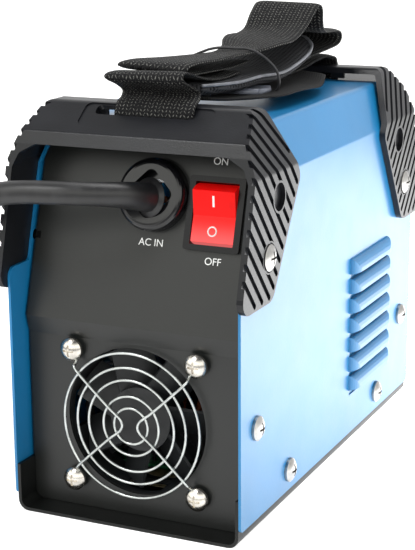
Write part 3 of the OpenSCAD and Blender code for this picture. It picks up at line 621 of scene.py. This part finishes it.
class StudioLight(bpy.types.PropertyGroup):
    ambient: bpy.props.FloatProperty(
        name="Ambient", description="Brightness of the surroundings", default=1.0, min=0)
    room_colour: bpy.props.FloatVectorProperty(
        name="Room", description="Colour of the room behind the camera", subtype="COLOR", default=(0.10, 0.10, 0.105))
    glow_colour: bpy.props.FloatVectorProperty(
        name="Glow", description="Colour of the glow low in the room", subtype="COLOR", max=4, default=(2.0, 2.0, 1.9))
    table_light: bpy.props.FloatProperty(
        name="Table light", description="Brightness of the lit table beside the case", default=3.0, min=0)
    floor_colour: bpy.props.FloatVectorProperty(
        name="Floor", description="Colour of the floor", subtype="COLOR", default=(0.93, 0.93, 0.93))


SETTINGS = {"inverter_case": CaseLooks, "inverter_strap": StrapSizes, "inverter_lead": LeadSizes,
            "inverter_studio": StudioLight}


# ---- the case ----

class INVERTER_OT_case(bpy.types.Operator):
    """Give the sheet metal, guards and screws their finishes"""
    bl_idname = "inverter.case"
    bl_label = "Case"

    def execute(self, context):
        looks = context.scene.inverter_case
        dress(painted_sheet("blue_paint", looks.cover_colour[:], 0.34, coat=0.25), "cover")
        dress(painted_sheet("panel_paint", looks.panel_colour[:], 0.36, grain=0.03, specular=0.5), "rear_panel", "front_panel")
        dress(painted_sheet("tray_paint", shade(looks.panel_colour[:], 0.8), 0.4, specular=0.3), "base_tray")
        dress(moulded_plastic("guard_plastic", looks.guard_colour[:], 0.34, specular=0.35), "rear_guard", "front_guard")
        dress(plated_metal("nickel_plate", (0.78, 0.74, 0.68), 0.2),
              "fan_screws", "board_screws")
        # screw shanks within 55.5 mm of the case's middle get near-black painted shade
        dress(plated_metal("side_screw_plate", (0.50, 0.49, 0.47), 0.30, shaded_within=55.5 * MM), "guard_screws", "cover_screws")
        dress(plated_metal("zinc_plate", (0.62, 0.62, 0.60), 0.32),
              "fan_nuts", "pot_nut", "potentiometer", "knob_shaft", "fan_shaft", "earth_stud")
        return {"FINISHED"}


class INVERTER_OT_fan(bpy.types.Operator):
    """Make the fan's wire guard and finish the fan"""
    bl_idname = "inverter.fan"
    bl_label = "Fan"

    def execute(self, context):
        wire = 0.62 * MM
        centre = (FAN_LOW + FAN_HIGH) / 2
        panel = FAN_HIGH.y
        across, up = Vector((1, 0, 0)), Vector((0, 0, 1))

        def spot(x, z, stand):
            return Vector((centre.x + x * MM, panel - stand * MM, centre.z + z * MM))

        shape = bmesh.new()
        for radius in (32.8, 26.3, 20.7, 13.4, 8.1):
            add_ring(shape, spot(0, -0.3, 4.9), radius * MM, wire, across, up)
        bends = [(27.3, 27.3, 1.2), (27.2, 24.6, 3.6), (25.9, 21.9, 5.9), (11.4, 8.2, 6.0), (6.9, 4.5, 6.0),
                 (4.6, 2.4, 6.0), (3.7, 0, 6.0)]
        for side in (-1, 1):
            run = [spot(side * x, z, stand) for x, z, stand in bends]
            run += [spot(side * x, -z, stand) for x, z, stand in reversed(bends[:-1])]
            add_tube(shape, smooth_path(run, 5), wire, 12)
            for level in (-1, 1):
                add_ring(shape, spot(side * 30, level * 30, 0.9), 3.2 * MM, wire, across, up, 36)
        guard = new_piece("finger_guard", from_bmesh("finger_guard", shape),
                          plated_metal("guard_wire", (0.62, 0.65, 0.64), 0.28))
        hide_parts("fan_wire_guard")
        blades = moulded_plastic("fan_plastic", (0.009, 0.010, 0.011), 0.38, texture=0.03, specular=0.4)
        dress(blades, "fan_frame", "fan_rotor")
        return {"FINISHED"}


class INVERTER_OT_switch(bpy.types.Operator):
    """Finish the switch, its lit rocker and the marks round it"""
    bl_idname = "inverter.switch"
    bl_label = "Switch"

    def execute(self, context):
        looks = context.scene.inverter_case
        dress(polished_plastic("gloss_black", (0.005, 0.005, 0.006)), "lead_gland", "gland_nut", "display_bezel")
        dress(polished_plastic("bezel_black", (0.005, 0.005, 0.006), 0.25, 0.25), "switch_housing")
        low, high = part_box("power_rocker")
        dress(lit_rocker("rocker_red", looks.rocker_colour[:], low.z + 2 * MM, (low.z + high.z) / 2), "power_rocker")
        white = printed_ink("white_ink", (0.86, 0.87, 0.86))
        self.rocker_marks(white)
        for name, text, x, y in (("mark_on", "ON", -0.5, 22.2), ("mark_off", "OFF", 1.0, -20.0),
                                 ("mark_lead", "AC IN", -28.6, -14.4)):
            mesh = outline_mesh(name, text, 4.4)
            mesh.transform(SWITCH_FACE.matrix(x, y, 0.03))
            new_piece(name, mesh, white, smooth=False)
        return {"FINISHED"}

    def rocker_marks(self, white):
        """Raised bar and ring on the two halves of the rocker."""
        pivot = Vector(JOINTS["rocker_tilt"]["pos_m"])
        rest = math.radians(10)
        slope = math.radians(10.1)
        for name, along, tilt in (("rocker_bar", 6.3, rest + slope), ("rocker_ring", -6.3, rest - slope)):
            height = 5.5 + abs(along) * math.tan(slope) + 0.05
            up = SWITCH_FACE.up * math.cos(tilt) + SWITCH_FACE.out * math.sin(tilt)
            spot = (SWITCH_FACE.up * (along * math.cos(rest) - height * math.sin(rest))
                    + SWITCH_FACE.out * (along * math.sin(rest) + height * math.cos(rest)))
            face = Face(pivot + spot * MM, SWITCH_FACE.across, up)
            shape = bmesh.new()
            if name == "rocker_bar":
                add_bar(shape, face, (-0.2, -2.4), (-0.2, 2.4), 0.9, 0.12)
            else:
                add_ring(shape, face.point(-0.2, 0), 1.9 * MM, 0.32 * MM, face.across, face.up, 40, 8)
            new_piece(name, from_bmesh(name, shape), white, body="rocker", smooth=name == "rocker_ring")


class INVERTER_OT_inside(bpy.types.Operator):
    """Finish the boards and the parts inside the case"""
    bl_idname = "inverter.inside"
    bl_label = "Inside"

    def execute(self, context):
        dress(circuit_board("solder_mask", (0.02, 0.12, 0.05)), "main_board", "control_board", "front_board")
        dress(plated_metal("extruded_aluminium", (0.75, 0.76, 0.78), 0.35), "igbt_heatsinks", "rectifier_heatsink")
        dress(moulded_plastic("package_black", (0.014, 0.014, 0.016), 0.5),
              "igbt_transistors", "rectifier_diodes", "bridge_rectifier")
        dress(polished_plastic("capacitor_sleeve", (0.02, 0.03, 0.11)), "bulk_capacitors")
        dress(moulded_plastic("ferrite", (0.045, 0.045, 0.05), 0.6), "transformer_core")
        dress(moulded_plastic("powder_core", (0.16, 0.19, 0.05), 0.5), "choke_core")
        dress(wound_wire("enamelled_wire", (0.70, 0.28, 0.10)), "transformer_windings", "choke_winding")
        dress(plated_metal("copper_bar", (0.72, 0.36, 0.20), 0.3), "output_busbars")
        dress(plated_metal("tinned_metal", (0.75, 0.73, 0.68), 0.3), "switch_terminals", "plug_pins")
        dress(plated_metal("turned_brass", (0.78, 0.56, 0.22), 0.26),
              "fan_bearing", "board_standoffs", "socket_contacts")
        dress(moulded_plastic("relay_blue", (0.02, 0.07, 0.26), 0.4), "soft_start_relay")
        dress(moulded_plastic("insulation_film", (0.62, 0.52, 0.32), 0.5), "insulation_sheet")
        dress(rubber("wire_sleeve", (0.20, 0.05, 0.02)), "supply_leads")
        return {"FINISHED"}


class INVERTER_OT_front(bpy.types.Operator):
    """Finish the front controls and print their scales"""
    bl_idname = "inverter.front"
    bl_label = "Front controls"

    def execute(self, context):
        white = printed_ink("scale_ink", (0.80, 0.81, 0.80))
        dress(moulded_plastic("knob_plastic", (0.014, 0.014, 0.016), 0.4, texture=0.03), "current_knob")
        dress(moulded_plastic("socket_plastic", (0.012, 0.012, 0.013), 0.36, texture=0.03),
              "socket_insulators", "socket_nuts")
        dress(tinted_lens("red_lens", (0.55, 0.03, 0.02)), "display_lens")
        dress(lamp("amber_lamp", (0.90, 0.55, 0.08), 0.4), "status_leds")
        self.scale(white)
        self.pointer(white)
        self.digits()
        self.socket_marks(white)
        return {"FINISHED"}

    def scale(self, white):
        """Ticks and numbers round the knob."""
        shape = bmesh.new()
        steps = 9
        for k in range(steps + 1):
            turn = math.radians(225 - 270 * k / steps)
            aim = Vector((math.cos(turn), math.sin(turn)))
            add_bar(shape, KNOB_FACE, aim * 15.6, aim * 17.4, 0.5, out=0.02)
        new_piece("scale_ticks", from_bmesh("scale_ticks", shape), white, smooth=False)
        for k in (0, 3, 6, 9):
            turn = math.radians(225 - 270 * k / steps)
            mesh = outline_mesh(f"scale_{k}", str(1 + k), 3.0)
            mesh.transform(KNOB_FACE.matrix(math.cos(turn) * 19.6, math.sin(turn) * 19.6, 0.03))
            new_piece(f"scale_{k}", mesh, white, smooth=False)

    def pointer(self, white):
        """The knob's white line, at the bottom of its range."""
        aim = Vector((math.cos(math.radians(225)), math.sin(math.radians(225))))
        shape = bmesh.new()
        add_bar(shape, KNOB_FACE, aim * 4, aim * 11, 1.1, thickness=0.12, out=18)
        new_piece("knob_line", from_bmesh("knob_line", shape), white, body="knob", smooth=False)

    def digits(self):
        """Three seven-segment figures behind the display's lens."""
        lit = {"1": "bc", "6": "acdefg", "0": "abcdef"}
        low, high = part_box("display_lens")
        centre = (low + high) / 2
        face = Face(centre - KNOB_FACE.out * 1.3 * MM, KNOB_FACE.across, KNOB_FACE.up)
        w, h = 2.6, 4.6
        bars = {"a": ((-w, h), (w, h)), "b": ((w, h), (w, 0)), "c": ((w, 0), (w, -h)), "d": ((-w, -h), (w, -h)),
                "e": ((-w, -h), (-w, 0)), "f": ((-w, 0), (-w, h)), "g": ((-w, 0), (w, 0))}
        shape = bmesh.new()
        for place, figure in enumerate("160"):
            shift = Vector(((place - 1) * 10, 0))
            for segment in lit[figure]:
                start, end = (Vector(p) + shift for p in bars[segment])
                trim = (end - start).normalized() * 0.5
                add_bar(shape, face, start + trim, end - trim, 0.9, thickness=0.1)
        new_piece("display_digits", from_bmesh("display_digits", shape), lamp("lit_digit", (1.0, 0.05, 0.02), 3.0),
                  smooth=False)

    def socket_marks(self, white):
        """Plus and minus above the two output sockets."""
        low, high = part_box("socket_insulators")
        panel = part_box("front_panel")[1].y
        plane = Face((0, high.y - 9 * MM, high.z + 6 * MM), (-1, 0, 0), (0, 0, 1))
        spread = (high.x - low.x) / 2 / MM - 15
        for name, side in (("mark_minus", -1), ("mark_plus", 1)):
            shape = bmesh.new()
            add_bar(shape, plane, (side * spread - 2.2, 0), (side * spread + 2.2, 0), 0.9, out=0.02)
            if name == "mark_plus":
                add_bar(shape, plane, (side * spread, -2.2), (side * spread, 2.2), 0.9, out=0.02)
            new_piece(name, from_bmesh(name, shape), white, smooth=False)


# ---- the mains lead ----

# The route from the gland to the coil, and from the coil to the plug: x, distance from the rear, height
LEAD_ROUTE = [
    (4.5, 19.5, 143.5), (2.6, 13, 145), (-1.5, 5.5, 146.6), (-8, -1, 147.6), (-17, -6, 148.1),
    (-28, -9, 148.2), (-40, -10.5, 147.7), (-52, -11, 145.8), (-64, -11.5, 141.5), (-75, -12, 134.5),
    (-84, -12, 125.5), (-90.5, -12, 115), (-94.5, -11.5, 103), (-96.5, -11, 90),
    (-97.5, -10, 77), (-99, -9, 64), (-102, -8, 51.5), (-107.5, -7.5, 39.5), (-115, -7.5, 27.5),
    (-124, -8.5, 16), (-134.5, -9, 8.8), (-147, -9, 5.3)]
TAIL_ROUTE = [
    (-212.5, 53, 38.6), (-212.3, 66, 41), (-207.5, 84.7, 45), (-193.7, 98.5, 49.5), (-175, 103.5, 53.6),
    (-156.3, 98.5, 57.2), (-142.5, 84.7, 60), (-137.5, 66, 61.2)]
COIL_CENTRE = (-162.5, 41)
COIL_TURNS = 3.25
SLEEVE_FLANGE_R = 8.5


def coil_route(middle, diameter, points_a_turn=20):
    """Turns stacked one on another, from the side nearest the rear."""
    centre = at(*COIL_CENTRE, 0)
    route = []
    for k in range(round(COIL_TURNS * points_a_turn) + 1):
        turn = k / points_a_turn
        angle = -math.pi / 2 - turn * 2 * math.pi
        route.append(centre + Vector((middle * math.cos(angle), middle * math.sin(angle), diameter * (0.5 + turn))))
    return route


class INVERTER_OT_lead(bpy.types.Operator):
    """Lay the mains lead along its route and finish its plug"""
    bl_idname = "inverter.lead"
    bl_label = "Mains lead"

    def execute(self, context):
        sizes = context.scene.inverter_lead
        black = rubber("lead_rubber", (0.012, 0.012, 0.013), 0.42)
        route = [at(*p) for p in LEAD_ROUTE] + coil_route(sizes.coil_radius, sizes.diameter)
        route += [at(*p) for p in TAIL_ROUTE]
        curve = bpy.data.curves.new("mains_cable", "CURVE")
        curve.dimensions = "3D"
        curve.bevel_depth = sizes.diameter / 2
        curve.bevel_resolution = 6
        curve.resolution_u = 5
        curve.use_fill_caps = True
        spline = curve.splines.new("BEZIER")
        spline.bezier_points.add(len(route) - 1)
        for knot, point in zip(spline.bezier_points, route):
            knot.co = point
            knot.handle_left_type = knot.handle_right_type = "AUTO"
        curve.materials.append(black)
        cable = bpy.data.objects.new("mains_cable", curve)
        context.scene.collection.objects.link(cable)
        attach(cable, CASE)
        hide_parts("mains_lead", "mains_lead_coil")
        dress(rubber("plug_rubber", (0.014, 0.014, 0.015), 0.45), "plug_body")
        sleeve = self.sleeve(sizes.diameter)
        at(*LEAD_ROUTE[1])
        return {"FINISHED"}

    def sleeve(self, diameter):
        """Tapered sleeve that lets the lead bend gently where it leaves the gland."""
        path = smooth_path([at(*p) for p in LEAD_ROUTE[:5]], 8)
        shape = bmesh.new()
        count = len(path) - 1
        radii = [diameter / 2 + (1.9 * (1 - k / count) ** 1.5 - 0.15) * MM for k in range(count + 1)]
        radii[:2] = [SLEEVE_FLANGE_R * MM] * 2
        add_tube(shape, path, radii, 24)
        sleeve = new_piece("lead_sleeve", from_bmesh("lead_sleeve", shape),
                           rubber("sleeve_rubber", (0.010, 0.010, 0.011), 0.4))
        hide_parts("strain_relief")
        return sleeve


# ---- the shoulder strap ----

# Middle lines of the webbing: x, distance from the rear, height, turn, tilt, share of the width
REAR_LOOP = [
    (5, 26.5, 170, 0, 0, 1), (5, 24.4, 174, 0, 0, 1), (5, 23.6, 178.4, 0, 0, 1), (5, 26, 182.2, 0, 0, 1),
    (4.6, 30.6, 184, 0, 0, 1), (3.6, 33.4, 186.4, 0, 0, 1), (2, 31, 189, 0, 0, 1), (0.4, 26.6, 191.2, 0, 0, 1),
    (-0.6, 25.4, 193, 0, 1, 1), (-0.8, 28, 194.4, 0, 2, 1), (-0.6, 33, 194.2, 0, 1, 1), (0, 40, 192.6, 0, 0, 1),
    (1, 50, 190.8, 0, -2, 1), (2, 62, 190, 0, -2, 1), (3, 76, 190.4, 0, 0, 1)]
UPPER_FOLD = [
    (4, 92, 193, 0, 3, 0.8), (1, 74, 192.4, 0, 1, 0.9), (-2, 58, 192.8, -4, 0, 1), (-3.4, 46, 193.6, -8, -2, 1),
    (-4, 40.4, 194.8, -10, -2, 1), (-3.6, 42.4, 196.6, -10, 0, 1), (-2, 50, 197.2, -9, 1, 1),
    (2, 62, 197, -7, 2, 0.95), (8, 76, 197.4, -8, 4, 0.8), (13, 87, 197.9, -9, 4, 0.66),
    (15.5, 95, 199.4, -10, 2, 0.72), (15, 104, 201.2, -10, -1, 0.88), (14.6, 114, 202, -10, -2, 0.98),
    (14.6, 124, 203, -12, 2, 1), (15, 132, 205.6, -14, 4, 1), (15.5, 137.5, 210.5, -14, 1, 1),
    (16, 142.5, 214.6, -14, 0, 1), (16.4, 145.8, 215.6, -14, 0, 1), (16.6, 148, 213.6, -14, -1, 1),
    (16, 149.4, 209.6, -13, -2, 1), (15, 152, 205.2, -10, -3, 1), (13, 160, 202.6, -6, -3, 1),
    (11, 172, 201.4, -3, -2, 1), (10, 182, 200.8, 0, -2, 1), (9.6, 187.6, 199, 0, -2, 1),
    (9.4, 188.4, 196, 0, -2, 1), (9, 184, 193.6, 0, -2, 1), (8, 172, 192.2, 0, -2, 1),
    (6, 158, 190, 0, 0, 1), (4, 146, 187.6, 0, 0, 1)]
FRONT_LOOP = [
    (-3, 26.5, 170, 0, 0, 1), (-3, 24.4, 174, 0, 0, 1), (-3, 23.6, 178.4, 0, 0, 1), (-3.2, 26.2, 182.2, 0, 0, 1),
    (-4, 30, 184.8, 0, 0, 1), (-5, 37, 186.4, 0, 0, 1), (-6, 47, 187.6, 0, 0, 1), (-5, 60, 186.6, 0, 0, 1),
    (-4, 74, 184.4, 0, 0, 1), (-2, 90, 182.6, 0, 0, 1)]
TAIL = [
    (18, 152, 182.6, 8, -6, 1), (22, 138, 181.2, 12, -10, 1), (25, 124, 181, 10, -8, 1),
    (26, 110, 181.2, 6, -4, 1), (26, 96, 180.2, 2, 2, 1), (25, 84, 180, 0, 2, 1), (20, 70, 180.4, 0, 2, 1),
    (12, 56, 181.4, 0, 0, 1), (7, 46, 182.6, 0, 0, 1)]
# Middle line of the shoulder pad and half its width
PAD_SPINE = [
    (2, 41, 187, 17), (4, 52, 186.6, 19.5), (6.5, 66, 186.4, 20.5), (8, 82, 187, 21), (10, 98, 186.8, 22),
    (10.5, 114, 188.6, 22), (10.5, 130, 192, 22), (9.5, 143, 194.6, 20), (8.5, 152, 196.4, 16),
    (8.5, 159, 197.4, 10), (8.5, 163, 197.8, 2)]


class INVERTER_OT_strap(bpy.types.Operator):
    """Fold the shoulder strap on top of the case"""
    bl_idname = "inverter.strap"
    bl_label = "Shoulder strap"

    def execute(self, context):
        sizes = context.scene.inverter_strap
        # the second colour is the painted highlight on the webbing's ridges
        dark, thread_and_highlight = (0.003, 0.003, 0.004), (0.15, 0.15, 0.14)
        zigzag = herringbone_webbing("herringbone", dark, thread_and_highlight)
        plain = ribbed_webbing("ribbed_webbing", dark, shade(thread_and_highlight, 0.3))
        rear = band("strap_rear", REAR_LOOP, sizes.width, sizes.thickness, zigzag)
        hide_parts("strap_rear_loop")
        front = band("strap_front", flipped(FRONT_LOOP), sizes.width, sizes.thickness, zigzag)
        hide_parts("strap_front_loop")
        upper = band("strap_upper", UPPER_FOLD, sizes.width, sizes.thickness, zigzag)
        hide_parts("strap_bundle")
        band("strap_tail", TAIL, sizes.width * 0.8, sizes.thickness, plain)
        self.pad(dark)
        self.slider()
        self.tie()
        return {"FINISHED"}

    def pad(self, dark):
        """Padded shoulder rest with a piped edge."""
        spine = smooth_path([at(x, back, z) for x, back, z, _ in PAD_SPINE], 6)
        halves = [point.x for point in smooth_path([Vector((half * MM, 0, 0)) for *_, half in PAD_SPINE], 6)]
        columns = 22
        shape = bmesh.new()
        weave = shape.loops.layers.uv.new("weave")
        spots = {}
        rings = []
        edges = ([], [])
        run = 0.0
        for i, (point, ahead, half) in enumerate(zip(spine, tangents(spine), halves)):
            run += (spine[i] - spine[i - 1]).length if i else 0.0
            side = Vector((1, 0, 0))
            normal = side.cross(ahead).normalized()
            ring = []
            for face, thick in ((1, 2.6), (-1, 3.4)):
                for k in (range(columns + 1) if face == 1 else range(columns, -1, -1)):
                    share = 2 * k / columns - 1
                    swell = (1 - abs(share) ** 4) ** 0.5
                    lift = face * MM * (0.35 + (thick - 0.35) * swell * min(1, half / (8 * MM)))
                    vert = shape.verts.new(point + side * half * share + normal * lift)
                    spots[vert] = (run, half * share)
                    ring.append(vert)
            rings.append(ring)
            edges[0].append(point - side * half + normal * 1.6 * MM)
            edges[1].append(point + side * half + normal * 1.6 * MM)
        for first, second in zip(rings, rings[1:]):
            for k in range(len(first)):
                j = (k + 1) % len(first)
                shape.faces.new((first[k], first[j], second[j], second[k]))
        for ring in (rings[0], rings[-1]):
            for k in range(columns):
                shape.faces.new((ring[k], ring[k + 1], ring[-2 - k], ring[-1 - k]))
        for face in shape.faces:
            for loop in face.loops:
                loop[weave].uv = spots[loop.vert]
        pad = new_piece("shoulder_pad", from_bmesh("shoulder_pad", shape),
                        spacer_mesh("spacer_mesh", dark, (0.035, 0.036, 0.040)))
        piping = bmesh.new()
        add_tube(piping, edges[1] + list(reversed(edges[0])), 0.7 * MM, 10)
        new_piece("pad_piping", from_bmesh("pad_piping", piping),
                  rubber("grey_piping", (0.10, 0.105, 0.12), 0.4))

    def slider(self):
        """Three-bar slider on the strap's adjusting end."""
        shape = bmesh.new()
        for x, wide in ((-10, 1.6), (0, 1.3), (10, 1.6)):
            path = [at(19 + x, 78, 181.6), at(19 + x, 90, 181.6)]
            add_tube(shape, path, wide * MM, 16)
        for back in (77.5, 90.5):
            path = [at(9, back, 181.6), at(29.5, back, 181.8)]
            add_tube(shape, path, 1.7 * MM, 16)
        slider = new_piece("strap_buckle", from_bmesh("strap_buckle", shape),
                           moulded_plastic("slider_plastic", (0.10, 0.11, 0.14), 0.35, texture=0.02))
        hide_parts("strap_slider")

    def tie(self):
        """Thin elastic that holds the folded strap together."""
        loop = [(-1, 91, 198.4), (5, 89.4, 199.6), (14, 86, 200), (22.5, 82.5, 200.2), (28, 85, 197.4),
                (32.2, 88.6, 192.4), (34, 90, 188), (34, 90.6, 184), (31, 91.4, 180.4), (20, 92, 178.6),
                (0, 92.6, 178.2), (-13, 93, 181), (-16.5, 93, 186.6), (-12, 92.4, 193.6)]
        path = smooth_path([at(*p) for p in loop + loop[:1]], 6)[:-1]
        shape = bmesh.new()
        add_tube(shape, path, 0.6 * MM, 10, closed=True)
        tie = new_piece("strap_elastic", from_bmesh("strap_elastic", shape),
                        rubber("elastic", (0.010, 0.010, 0.012), 0.5))
        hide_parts("strap_tie")


# ---- camera and studio ----

class INVERTER_OT_camera(bpy.types.Operator):
    """Set the camera behind the case, to the right and a little above"""
    bl_idname = "inverter.camera"
    bl_label = "Camera"

    def execute(self, context):
        yaw, pitch, roll = (math.radians(a) for a in (25.01, 14.35, -0.38))
        forward = Vector((-math.sin(yaw) * math.cos(pitch), math.cos(yaw) * math.cos(pitch), -math.sin(pitch)))
        level = Vector((math.cos(yaw), math.sin(yaw), 0))
        above = level.cross(forward)
        right = level * math.cos(roll) + above * math.sin(roll)
        up = above * math.cos(roll) - level * math.sin(roll)
        lens = bpy.data.cameras.new("camera")
        lens.lens = 99.2
        lens.sensor_width = 36
        lens.clip_start = 0.01
        camera = bpy.data.objects.new("camera", lens)
        context.scene.collection.objects.link(camera)
        turn = Matrix((right, up, -forward)).transposed().to_4x4()
        camera.matrix_world = Matrix.Translation((0.2914, -0.6512, 0.2699)) @ turn
        context.scene.camera = camera
        return {"FINISHED"}


class INVERTER_OT_studio(bpy.types.Operator):
    """Lay the pale floor and hang the soft lights"""
    bl_idname = "inverter.studio"
    bl_label = "Studio"

    def execute(self, context):
        settings = context.scene.inverter_studio
        world = bpy.data.worlds.new("studio")
        world.use_nodes = True
        sky = Nodes(world.node_tree)
        view = sky.node("ShaderNodeTexCoord", out="Generated")
        ahead, height = sky.axis(view, "Y"), sky.axis(view, "Z")
        glow = height.ramp(0.0, 0.2) * (1 - height.ramp(0.45, 0.8))
        behind = sky.blend(glow, settings.room_colour[:], settings.glow_colour[:])
        background = world.node_tree.nodes["Background"]
        sky._fill(background.inputs["Color"], sky.blend(ahead.ramp(-0.1, 0.3), behind, (1.0, 1.0, 1.0)))
        background.inputs["Strength"].default_value = settings.ambient
        context.scene.world = world
        context.scene.view_settings.view_transform = "Standard"
        shape = bmesh.new()
        bmesh.ops.create_circle(shape, cap_ends=True, segments=64, radius=14)
        mesh = bpy.data.meshes.new("floor")
        shape.to_mesh(mesh)
        shape.free()
        paper = Finish("floor_paper")
        place = paper.place()
        glow = paper.node("ShaderNodeVectorMath", [place, (0.36, 0.36, 0)], out="Value", operation="DISTANCE")
        mesh.materials.append(paper.set(
            Base_Color=paper.blend(paper.axis(place, "Y").ramp(-0.6, -0.3), (0.05, 0.05, 0.05),
                                   settings.floor_colour[:]),
            Roughness=0.9, Specular_IOR_Level=0.1,
            Emission_Color=paper.blend(glow.ramp(0.3, 0.62), (1, 1, 1), (0.16, 0.16, 0.16)),
            Emission_Strength=settings.table_light))
        floor = bpy.data.objects.new("floor", mesh)
        context.scene.collection.objects.link(floor)
        for name, place, aim, size, power in (
                ("overhead", (0.2, 0.4, 1.3), (0, 0, 0.1), 0.9, 9),
                ("rear_left", (-0.42, -0.85, 1.15), (0, -0.1, 0.12), 0.45, 7)):
            self.soft_light(context, name, Vector(place), Vector(aim), size, power)
        return {"FINISHED"}

    def soft_light(self, context, name, place, aim, size, power):
        light = bpy.data.lights.new(name, "AREA")
        light.shape = "DISK"
        light.size = size
        light.energy = power
        holder = bpy.data.objects.new(name, light)
        holder.location = place
        holder.rotation_euler = (aim - place).to_track_quat("-Z", "Y").to_euler()
        holder.visible_camera = False
        context.scene.collection.objects.link(holder)


OPERATORS = (INVERTER_OT_camera, INVERTER_OT_lead, INVERTER_OT_case, INVERTER_OT_fan, INVERTER_OT_switch,
             INVERTER_OT_inside, INVERTER_OT_front, INVERTER_OT_strap, INVERTER_OT_studio)


class INVERTER_PT_looks(bpy.types.Panel):
    """Settings and makers of the inverter's looks"""
    bl_idname = "INVERTER_PT_looks"
    bl_label = "Welding inverter"
    bl_space_type = "VIEW_3D"
    bl_region_type = "UI"
    bl_category = "Inverter"

    def draw(self, context):
        for name, group in SETTINGS.items():
            for field in group.__annotations__:
                self.layout.prop(getattr(context.scene, name), field)
        for operator in OPERATORS:
            self.layout.operator(operator.bl_idname)


def register():
    for kind in (*SETTINGS.values(), *OPERATORS, INVERTER_PT_looks):
        bpy.utils.register_class(kind)
    for name, group in SETTINGS.items():
        setattr(bpy.types.Scene, name, bpy.props.PointerProperty(type=group))


def unregister():
    for name in SETTINGS:
        delattr(bpy.types.Scene, name)
    for kind in reversed((*SETTINGS.values(), *OPERATORS, INVERTER_PT_looks)):
        bpy.utils.unregister_class(kind)


def main():
    register()
    for operator in OPERATORS:
        group, name = operator.bl_idname.split(".")
        getattr(getattr(bpy.ops, group), name)()


if __name__ == "__main__":
    main()
